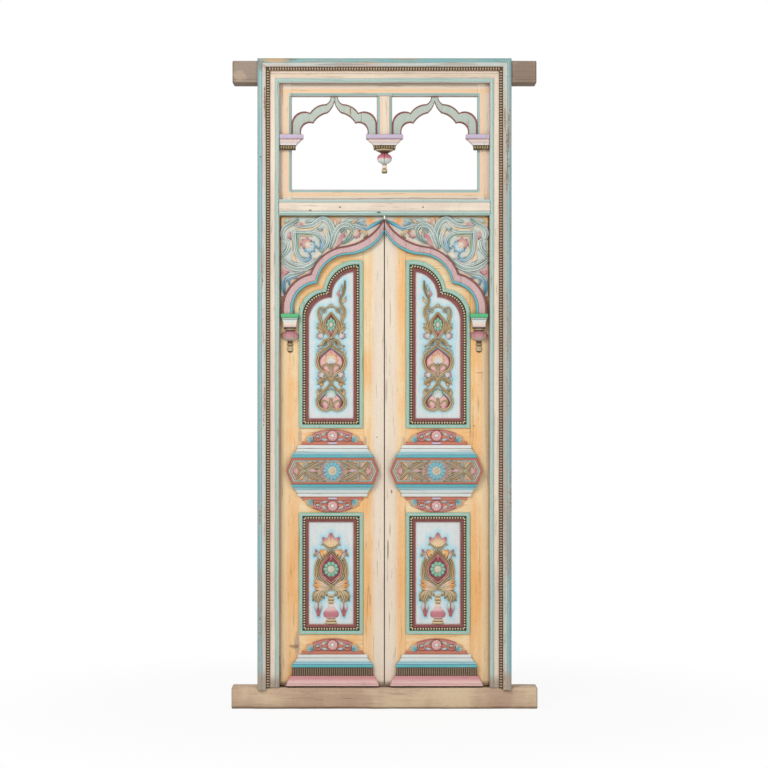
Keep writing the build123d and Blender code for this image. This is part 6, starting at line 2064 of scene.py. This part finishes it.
    def lower_line(self, share: float) -> Array:
        """The closed line of the lower panel's moulding at a share of its width.

        Args:
            share: 0 at the outer edge, 1 at the inner.

        Returns:
            Places along the line.
        """
        step = self.moulding_width * share
        x0, x1 = self.opening[0] + step, self.opening[1] - step
        z0, z1 = self.lower_span[0] + step, self.lower_span[1] - step
        return run((x0, z0), (x1, z0), (x1, z1), (x0, z1), (x0, z0), steps=self.lower_counts[0])

    def moulding(self, line: Callable[[float], Array], counts: tuple[int, ...]) -> list[Shell]:
        """A panel moulding: a green band with a pale line, a row of beads and a maroon band inside.

        Args:
            line: Its closed line at a share of its width, 0 outside and 1 inside.
            counts: How many steps the line has on each stretch, corner to corner.

        Returns:
            Closed skins.
        """
        green = Coat.SEA_GREEN
        # The umber outer wall and bead bed are painted shade round the moulding and between its beads, with soiling;
        # the dark rows in the green and maroon bands are painted shade in their grooves.
        profile = [
            (0.0, LEAF_FACE + 0.5, UMBER, 1.0), (0.0, -20.6, green, 0.5), (0.035, -22.0, green, 0.0),
            (0.115, -21.6, green, 0.1), (0.125, -20.8, DARK_WOOD, 0.6), (0.14, -21.6, STONE, 0.0),
            (0.22, -21.8, STONE, 0.0), (0.235, -21.0, DARK_WOOD, 0.5), (0.25, -21.2, green, 0.0),
            (0.34, -19.6, green, 0.2), (0.36, -13.0, UMBER, 1.0), (0.39, -12.0, UMBER, 1.0),
            (0.68, -12.0, UMBER, 1.0), (0.7, -13.6, MAROON, 0.5), (0.74, -14.4, MAROON, 0.0),
            (0.8, -13.4, MAROON, 0.1), (0.82, -12.2, DARK_MAROON, 0.8), (0.84, -12.6, MAROON, 0.1),
            (0.93, -9.6, MAROON, 0.1),
            (0.97, -8.4, PINK, 0.1), (1.0, -6.8, MAROON, 0.7),
        ]
        shells = [ruled(line(0.0), line(1.0), profile, PANEL_SEAT, looped=True)]
        unit = bead(length=8.4, width=11.4, height=5.0, tip=KHAKI, foot=UMBER)
        middle = line(self.bead_share)
        closed, cuts = np.vstack([middle, middle[:1]]), np.cumsum([0, *counts])
        for first, last in zip(cuts[:-1], cuts[1:]):
            places, turns = spaced(closed[first : last + 1], self.bead_pitch)
            shells.append(repeated(unit, standing(places, self.bead_seat), turns))
        return shells

    def vase(self) -> Shell:
        """The vase at the ornament's foot: a turned form pressed to a third of its depth against the panel.

        Returns:
            A closed skin.
        """
        z = self.lower_ornament_foot
        # The umber rows at the vase's necks are painted shade with soiling.
        profile = [
            (12, z + 124, GOLD), (15, z + 121, KHAKI), (15, z + 117, GOLD), (10, z + 113, UMBER), (14, z + 109, KHAKI),
            (15, z + 104, GOLD), (12, z + 99, UMBER), (15, z + 96, KHAKI), (14, z + 90, GOLD), (9, z + 87, UMBER),
            (11, z + 84, BEIGE), (12, z + 78, PINK_CREAM), (15, z + 70, LILAC), (22, z + 61, PALE_PINK),
            (30, z + 51, DULL_ROSE), (33, z + 42, ROSE), (30, z + 32, DULL_ROSE), (20, z + 25, PALE_PINK),
            (14, z + 22, UMBER), (20, z + 19, KHAKI), (23, z + 15, GOLD), (21, z + 11, UMBER), (25, z + 8, KHAKI),
            (26, z + 3, GOLD), (24, z + 1, UMBER),
        ]
        shell = turned(profile, (self.panel_middle, PANEL_FACE), front_only=True)
        shell.points[:, 1] = PANEL_SEAT + (shell.points[:, 1] - PANEL_FACE) * 0.34
        return shell

    def arch_band(self) -> Shell:
        """The cusped band: raised borders and a face cut in small diamonds.

        Across the face the height adds the product of two slanting sines, one wave every nine millimetres.

        Returns:
            A closed skin.
        """
        outer, inner = OUTER_LINE.trace(90), INNER_LINE.trace(90)
        tail = np.linspace(outer[-1, 1], self.arch_foot, 8)[1:]
        outer, inner = (
            np.vstack([line, np.column_stack([np.full(len(tail), line[-1, 0]), tail])]) for line in (outer, inner)
        )
        rim, face = -37.0, -33.0
        bright, deep = Coat.BRIGHT_TURQUOISE, DEEP_TURQUOISE
        # The walls down to the leaf, dark maroon outside and umber inside, are a painted shadow round the band; the
        # dark rows where the borders meet the face are painted shade with soiling.
        edge_out = [(0.0, -15, DARK_MAROON, 1.0), (0.0, rim + 2, MAROON, 0.5), (0.03, rim, MAROON, 0.2),
                    (0.12, rim, MAROON, 0.1), (0.15, rim + 1.2, DARK_MAROON, 0.4), (0.16, face, DARK_MAROON, 0.9)]
        edge_in = [(0.79, face, UMBER, 0.9), (0.8, rim + 1.2, deep, 0.3), (0.83, rim, bright, 0.0),
                   (0.95, rim, bright, 0.0), (0.99, rim + 1.5, deep, 0.2), (1.0, -28, deep, 0.4),
                   (1.0, -15, UMBER, 1.0)]
        shares = np.linspace(0.18, 0.77, 17)
        profile = edge_out + [(s, face, LILAC, 0.0) for s in shares] + edge_in
        shell = ruled(outer, inner, profile, LEAF_SEAT)
        rows, across = len(outer), len(profile) + 2
        carved = slice(len(edge_out), len(edge_out) + len(shares))
        grid, tint = (values[: rows * across].reshape(rows, across, 3) for values in (shell.points, shell.tint))
        grime = shell.grime[: rows * across].reshape(rows, across)
        along = np.concatenate([[0], np.cumsum(np.hypot(*np.diff((outer + inner) / 2, axis=0).T))])[:, None]
        width = np.hypot(*(inner - outer).T)[:, None] * shares
        turn = 2 * math.pi / self.diamond_pitch
        cut = np.sin((along + width) * turn) * np.sin((along - width) * turn)
        grid[:, carved, 1] -= self.diamond_depth * cut
        tint[:, carved] = blend(PALE_PINK.light, LILAC.light, eased(0.5 + cut))
        # The sunk diamonds get more darkening: soiling and painted shade.
        grime[:, carved] = np.clip(0.4 - 0.6 * cut, 0, 1)
        return shell

    def spandrel(self) -> list[Shell]:
        """The carved board over the arch: a sheet between the arch and the board's edges, with its scrolls.

        Returns:
            Closed skins.
        """
        low = OUTER_LINE.trace(40, 20.0)
        corner, tip = (self.far_edge, TRIM_TOP), (self.far_edge, float(low[-1, 1]))
        top = np.linspace((OUTER_LINE.meeting, TRIM_TOP), corner, 81)
        side = np.linspace(corner, tip, 41)[1:]
        high = np.vstack([top, side])
        seat = LEAF_FACE - 8.0
        shares = [0.0, 0.0, 0.004, *np.linspace(0.05, 0.95, 19), 0.996, 1.0, 1.0]
        depths = [LEAF_FACE, seat + 1, seat, *([seat] * 19), seat, seat + 1, LEAF_FACE]
        coats = [CREAM if share < 0.12 else STONE for share in shares]
        board = ruled(low, high, [(s, y, coat, 0.3) for s, y, coat in zip(shares, depths, coats)], LEAF_SEAT)
        spots = board.points[:, [0, 2]]
        clay = eased(0.2 + 0.9 * ripple(board.points, 90.0))
        board.tint = blend(board.tint, PINK_CREAM.light, clay)
        patches = (
            ((420.0, 2034.0), 30.0, ORANGE), ((213.0, 2032.0), 26.0, ORANGE), ((57.0, 2029.0), 22.0, DEEP_ORANGE),
            ((423.0, 1812.0), 24.0, PINK), ((372.0, 1780.0), 20.0, WARM_CREAM), ((20.0, 2020.0), 18.0, CREAM),
        )
        for place, reach, coat in patches:
            near = np.exp(-((np.hypot(*(spots - place).T) / reach) ** 2))
            board.tint = blend(board.tint, coat.light, near)
        shells = [board]
        for shell in SPANDREL_ORNAMENT.shells(0.0, 0.0, seat):
            shell.points = shell.points * (-1, 1, -1) + (self.far_edge, 0, TRIM_TOP)
            shells.append(shell.outward())
        return shells

    def corbel(self) -> list[Shell]:
        """The bracket under the arch's foot: a green slab, a cove and a lobed half drop.

        Returns:
            Closed skins.
        """
        top = self.arch_foot
        green = Coat.BRIGHT_GREEN
        # The dark maroon and umber rows lie in the slab's grooves and under its cove, and the drop's umber and brown
        # rows at its necks: painted shade with soiling.
        rows = [
            (35.5, 36.5, top, green, 0.3), (37, 38, top - 1.5, green, 0), (37, 38, top - 12, green, 0),
            (35, 36, top - 16, green, 0.1), (33, 34, top - 17, DARK_MAROON, 0.8), (33, 34, top - 19, MINT, 0.1),
            (32.4, 33.5, top - 23, MINT, 0.1), (31.8, 33, top - 24, UMBER, 0.8), (31, 32, top - 26, WHITE, 0.1),
            (28.6, 30.4, top - 32, WHITE, 0), (27, 29, top - 40, CREAM, 0.1), (26.6, 28.6, top - 48, PINK_CREAM, 0.1),
            (27, 28.6, top - 54, LILAC, 0.2),
            (26, 27.6, top - 57, UMBER, 0.9), (24, 25.6, top - 58, UMBER, 0.9),
        ]
        slab = stepped(rows, self.corbel_middle)
        low = top - 58
        profile = [(26, low + 0.6, OLIVE), (25, low - 4, UMBER), (23, low - 7, KHAKI), (21, low - 10, UMBER)]
        coats = [DULL_ROSE] * 6 + [PINK] * 2 + [WORN_PINK] * 5
        profile += [(*row, coat) for row, coat in zip(ball(36.5, 22, low - 11, 0.5), coats)]
        foot = low - 55
        profile += [
            (11, foot, UMBER), (10, foot - 8, BEAD_BROWN), (13, foot - 13, OLIVE), (13, foot - 17, OLIVE),
            (9, foot - 21, UMBER), (12, foot - 26, KHAKI), (13.5, foot - 31, OLIVE), (13.5, foot - 38, KHAKI),
            (11, foot - 43, UMBER), (7, foot - 47, OLIVE), (3, foot - 48.5, UMBER),
        ]
        drop = turned(profile, (self.corbel_middle, LEAF_SEAT), front_only=True, lobes=14, lobe_depth=0.13,
                      lobe_rows=(4, 17))
        return [slab, drop]

    def belt(self) -> list[Shell]:
        """The pointed block across the leaf, its cornices above and below and its strapwork.

        Returns:
            Closed skins.
        """
        x, z, high, wide = self.face_middle, self.belt_middle, self.belt_half_height, 193.0
        shoulder = wide - 22.0
        outline = run(
            (x - wide, z), (x - shoulder, z - high), (x + shoulder, z - high), (x + wide, z), (x + shoulder, z + high),
            (x - shoulder, z + high), (x - wide, z), steps=12,
        )
        front, seat = -43.0, -40.0
        # The dark maroon wall down to the leaf is a painted shadow round the block, and the umber rows in its grooves
        # are painted shade with soiling.
        board = plate(outline, LEAF_SEAT, [
            (0.0, -24.0, DARK_MAROON, 0.6), (0.0, front + 2.0, RED, 0.1), (1.6, front, RED, 0.0),
            (3.0, front, RED, 0.0),
            (4.0, front + 1.4, UMBER, 0.9), (5.2, front, RED, 0.0), (9.0, front, RED, 0.0),
            (10.2, seat - 0.4, UMBER, 1.0),
            (11.2, seat - 1.2, MINT, 0.1), (15.0, seat - 1.2, MINT, 0.1), (16.0, seat, UMBER, 0.9),
            (18.0, seat, Coat.CLAY, 0.5),
            (34.0, seat, Coat.CLAY, 0.5), (44.0, seat, Coat.CLAY, 0.5),
        ])
        shells = [board]
        for start, up in ((z + high, 1.0), (z - high, -1.0)):
            shells += [stepped(cornice_rows(start, up), x), self.tab(start + up * 60.0),
                       *BELT_STRAPS.shells(x, z, seat, up)]
        return shells + BELT_FLOWERS.shells(x, z, seat)

    def tab(self, z: float) -> Shell:
        """The small lavender block in the middle of a cornice's red fillet.

        Args:
            z: The block's middle.

        Returns:
            A closed skin.
        """
        rows = [(17.0, 8.0, z - 4.5, Coat.LAVENDER, 0.3), (18.0, 8.8, z - 3.5, Coat.LAVENDER, 0.0),
                (18.0, 8.8, z + 3.5, Coat.LAVENDER, 0.0), (17.0, 8.0, z + 4.5, Coat.LAVENDER, 0.3)]
        return stepped(rows, self.face_middle, ease=0.8)

    def frieze(self, foot: float, up: float) -> list[Shell]:
        """One small arched carving, standing on its foot or hanging from it.

        Args:
            foot: Where its straight edge is.
            up: 1 standing, -1 hanging.

        Returns:
            Closed skins.
        """
        half, shoulder_half, shoulder, crown = 118, 110, 20.7, 51.5
        bow = arc_through((shoulder_half, shoulder), (0, crown), (-shoulder_half, shoulder), 36)
        outline = np.vstack([
            run((-half, 0), (half, 0), steps=20), run((half, 0), (shoulder_half, shoulder), steps=4), bow[:-1],
            run((-shoulder_half, shoulder), (-half, 0), steps=4),
        ])
        seat = LEAF_FACE - 5.0
        # The umber row in the groove inside the rim is painted shade with soiling.
        board = plate(outline, LEAF_SEAT, [
            (0.0, seat + 0.8, MAROON, 0.5), (0.8, seat, RED, 0.0), (3.4, seat, RED, 0.0),
            (4.2, seat + 1.0, UMBER, 0.7), (5.2, seat, PINK, 0.2), (12.0, seat, RED, 0.3),
            (17.0, seat, RED, 0.3),
        ])
        orange = eased((np.abs(board.points[:, 0]) - 82) / 6)
        board.tint = blend(board.tint, ORANGE.light, orange)
        board.grime = board.grime * (1 - 0.8 * orange)
        board.points = board.points * (1, 1, up) + (self.face_middle, 0, foot)
        return [board.outward(), *FRIEZE_ORNAMENT.shells(self.face_middle, foot, seat, up)]

    def friezes(self) -> list[Shell]:
        """The three small carvings: over the belt, under it and over the plinth."""
        return [shell for foot, up in self.frieze_feet for shell in self.frieze(foot, up)]

    def plinth(self) -> list[Shell]:
        """The foot block: a pink skirt, a row of reeds and a cornice.

        Returns:
            Closed skins.
        """
        foot, x = self.plinth_foot, self.face_middle
        flutes, top = foot + 42.0, foot + 77.0
        # The dark wood row in the skirt's groove and the umber bed behind the reeds are painted shade with soiling.
        steps = [
            (190, 30.5, foot, GREY_WOOD, 0.4), (192, 32, foot + 2, PALE_PINK, 0.1), (192, 32, foot + 8, PALE_PINK, 0.0),
            (190.6, 31, foot + 9.5, DARK_WOOD, 0.8), (190, 31, foot + 11, PALE_PINK, 0.0),
            (185, 29, foot + 20, PALE_PINK, 0.0), (179, 26.6, foot + 31, PINK, 0.0),
            (174.6, 24.4, foot + 40.5, PINK, 0.0), (172, 23, foot + 42, ROSE, 0.3),
            (167, 17, flutes + 0.5, UMBER, 1.0), (167, 17, top - 0.5, UMBER, 1.0),
        ]
        unit = reed(width=6.6, height=4.4, tall=33.0, tip=Coat.REED, foot=UMBER)
        places = np.linspace((x - 161, flutes + 1), (x + 161, flutes + 1), 37)
        return [stepped(steps + cornice_rows(top, 1.0), x), repeated(unit, standing(places, LEAF_FACE - 17.0))]


def leaf_finishes() -> dict[str, bpy.types.Material]:
    """The finishes that both leaves share.

    Returns:
        A material for each kind of piece.
    """
    out, high, depth = Measure.OUT, Measure.HEIGHT, Measure.DEPTH
    back = Band(depth, 20.0, 40.0, MINT, 0.5, 0.8)
    worn_foot = Band(high, 80, 108, DARK_WOOD, 10.0, 0.75)
    low_orange = Band(high, 94, 870, DEEP_ORANGE, 60.0, 0.35)
    joints = (Band(out, 88.9, 91.0, DARK_WOOD, 0.3, 0.65), Band(out, 354.5, 356.6, DARK_WOOD, 0.3, 0.65))
    stile_bands = (low_orange, Band(out, -10, 50, CREAM, 18.0, 0.95), Band(out, 405, 460, WARM_CREAM, 15.0, 0.8),
                   # The umber band from 442 to 452 is a painted shadow on the hanging stile's edge behind the stop.
                   Band(out, 442, 452, UMBER, 4.0, 0.7),
                   *joints, back, worn_foot)
    stains = (
        Mark(-365, 268, 12, 48, GREY_WOOD, 0.7), Mark(-378, 256, 22, 10, DARK_WOOD, 0.6),
        Mark(-352, 1133, 9, 30, GREY_WOOD, 0.6), Mark(-80, 1112, 8, 22, GREY_WOOD, 0.6),
        Mark(80, 1112, 7, 22, GREY_WOOD, 0.5), Mark(14.5, 660, 2.4, 44, UMBER, 0.8),
        Mark(-442, 160, 9, 80, UMBER, 0.8), Mark(442, 130, 6, 40, DARK_WOOD, 0.7),
        Mark(-32, 1128, 3.5, 3), Mark(30, 900, 3, 9, DARK_WOOD), Mark(-60, 450, 2.4, 30, DARK_WOOD, 0.6),
        Mark(432, 1330, 20, 330, GREY_WOOD, 0.4), Mark(372, 1174, 4, 3, UMBER, 0.7),
        Mark(8, 1320, 5, 60, GREY_WOOD, 0.5),
        Mark(396, 1396, 18, 2.5, DARK_WOOD, 0.6),
    )
    finishes = {
        "stile": Timber("leaf stile paint", ORANGE, WARM_CREAM, bands=stile_bands, chips=0.45, grime=0.6, marks=stains),
        "rail": Timber("leaf rail paint", ORANGE, WARM_CREAM, Way.ACROSS, bands=(back,), chips=0.4, grime=0.6,
                       marks=stains),
        # The lap is painted dark: a painted shade in the joint between the leaves.
        "lap": Timber("lap paint", UMBER, DARK_WOOD, chips=0.3, grime=0.8),
        "panel": Timber("panel paint", WHITE, WHITE, carved=True, chips=0.2, grime=0.65, cracks=0.15),
        "moulding": Timber("moulding paint", GREEN, MAROON, carved=True, chips=0.4, grime=0.75, roughness=0.5),
        "carving": Timber("carving paint", GOLD, OLIVE, carved=True, chips=0.3, grime=0.7, cracks=0.2, roughness=0.45),
        "band": Timber("arch band paint", LILAC, PINK, carved=True, chips=0.4, grime=0.6),
        "spandrel": Timber("spandrel paint", MINT, SAGE, carved=True, chips=0.4, grime=0.6, cracks=0.2),
        "belt": Timber("belt paint", RED, MINT, Way.ACROSS, carved=True, chips=0.6, grime=0.6),
    }
    return {name: finish.material() for name, finish in finishes.items()}


# ---------------------------------------------------------------- the studio


PURE_WHITE = (1, 1, 1, 1)


@dataclass(frozen=True)
class Studio:
    """A pale floor, soft lamps and a camera square to the door."""

    distance: float = 9.0
    view_width: float = 3.187
    camera_height: float = 1.349
    camera_x: float = -0.002
    front_plane: float = -0.05
    sensor: float = 36.0
    sky_level: float = 0.53
    floor_half: float = 14.0
    floor_fade: tuple[float, float] = (0.8, 2.2)

    def build(self) -> None:
        """Sets up the view, the lamps, the sky and the floor."""
        bpy.context.scene.view_settings.view_transform = "Standard"
        self.add_camera()
        self.add_lamp("key", (-2.2, -3.9, 4.0), 1.6, 108.0)
        self.add_lamp("fill", (2.8, -4.2, 1.6), 2.4, 40.0)
        self.add_sky()
        self.add_floor()

    def add_camera(self) -> None:
        """Places the camera: the lens is the sensor's width times the distance over the width seen."""
        data = bpy.data.cameras.new("front view")
        data.sensor_width = self.sensor
        data.lens = self.sensor * self.distance / self.view_width
        data.clip_end = 100.0
        camera = bpy.data.objects.new("front view", data)
        camera.location = (self.camera_x, self.front_plane - self.distance, self.camera_height)
        camera.rotation_euler = (math.pi / 2, 0, 0)
        bpy.context.scene.collection.objects.link(camera)
        bpy.context.scene.camera = camera

    def add_lamp(self, name: str, place: tuple[float, float, float], size: float, power: float) -> None:
        """Places a square lamp aimed at the middle of the door.

        Args:
            name: Its name.
            place: Where it stands, in metres.
            size: Its side, in metres.
            power: Its power in watts.
        """
        data = bpy.data.lights.new(name, "AREA")
        data.size, data.energy = size, power
        lamp = bpy.data.objects.new(name, data)
        lamp.location = place
        to_door = np.array([0, 0, self.camera_height]) - place
        level = math.hypot(to_door[0], to_door[1])
        lamp.rotation_euler = (math.atan2(level, -to_door[2]), 0, math.atan2(to_door[0], -to_door[1]) + math.pi)
        bpy.context.scene.collection.objects.link(lamp)

    @staticmethod
    def seen(g: Graph) -> Wire:
        """1 for rays that show the thing itself: straight from the camera, off gloss or through clear matter.

        Args:
            g: The nodes to add to.

        Returns:
            1 or 0.
        """
        kinds = (f"Is {kind} Ray" for kind in ("Camera", "Glossy", "Transmission"))
        camera, glossy, through = (g.add("ShaderNodeLightPath", {}, {}, kind) for kind in kinds)
        return camera.most(glossy).most(through)

    def add_sky(self) -> None:
        """A white background for the camera and for reflections, and an even, lower light for the rest."""
        g = Graph(bpy.data.worlds.new("studio"))
        bpy.context.scene.world = g.owner
        level = g.add("ShaderNodeMapRange", {}, {0: self.seen(g), 3: self.sky_level, 4: 1.0})
        background = g.add("ShaderNodeBackground", {}, {"Color": PURE_WHITE, "Strength": level})
        g.add("ShaderNodeOutputWorld", {}, {"Surface": background})

    def add_floor(self) -> None:
        """A pale floor that fades to the white of the background away from the door."""
        half = self.floor_half
        mesh = bpy.data.meshes.new("studio_floor")
        mesh.from_pydata([(-half, -half, 0), (half, -half, 0), (half, half, 0), (-half, half, 0)], [], [(0, 1, 2, 3)])
        g = Graph(bpy.data.materials.new("studio floor"))
        place = g.add("ShaderNodeTexCoord", {}, {}, "Object")
        away = g.add("ShaderNodeVectorMath", {"operation": "LENGTH"}, {0: place}, "Value")
        white = self.seen(g) * (0.9 + away.step(*self.floor_fade) * 0.1)
        plain = g.add("ShaderNodeBsdfDiffuse", {}, {"Color": (0.85, 0.85, 0.85, 1)})
        shine = g.add("ShaderNodeEmission", {}, {"Color": PURE_WHITE, "Strength": 1.0})
        both = g.add("ShaderNodeMixShader", {}, {0: white, 1: plain, 2: shine})
        g.add("ShaderNodeOutputMaterial", {}, {"Surface": both})
        mesh.materials.append(g.owner)
        floor = bpy.data.objects.new("studio_floor", mesh)
        bpy.context.scene.collection.objects.link(floor)


def main() -> None:
    """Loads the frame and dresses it."""
    logging.basicConfig(level=logging.INFO, format="%(name)s: %(message)s")
    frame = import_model()
    nodes = frame["nodes"]
    Surround(nodes).build()
    TransomLight(nodes).build()
    finishes = leaf_finishes()
    for side in Side:
        Leaf(nodes, side, finishes).build()
    Studio().build()


if __name__ == "__main__":
    main()
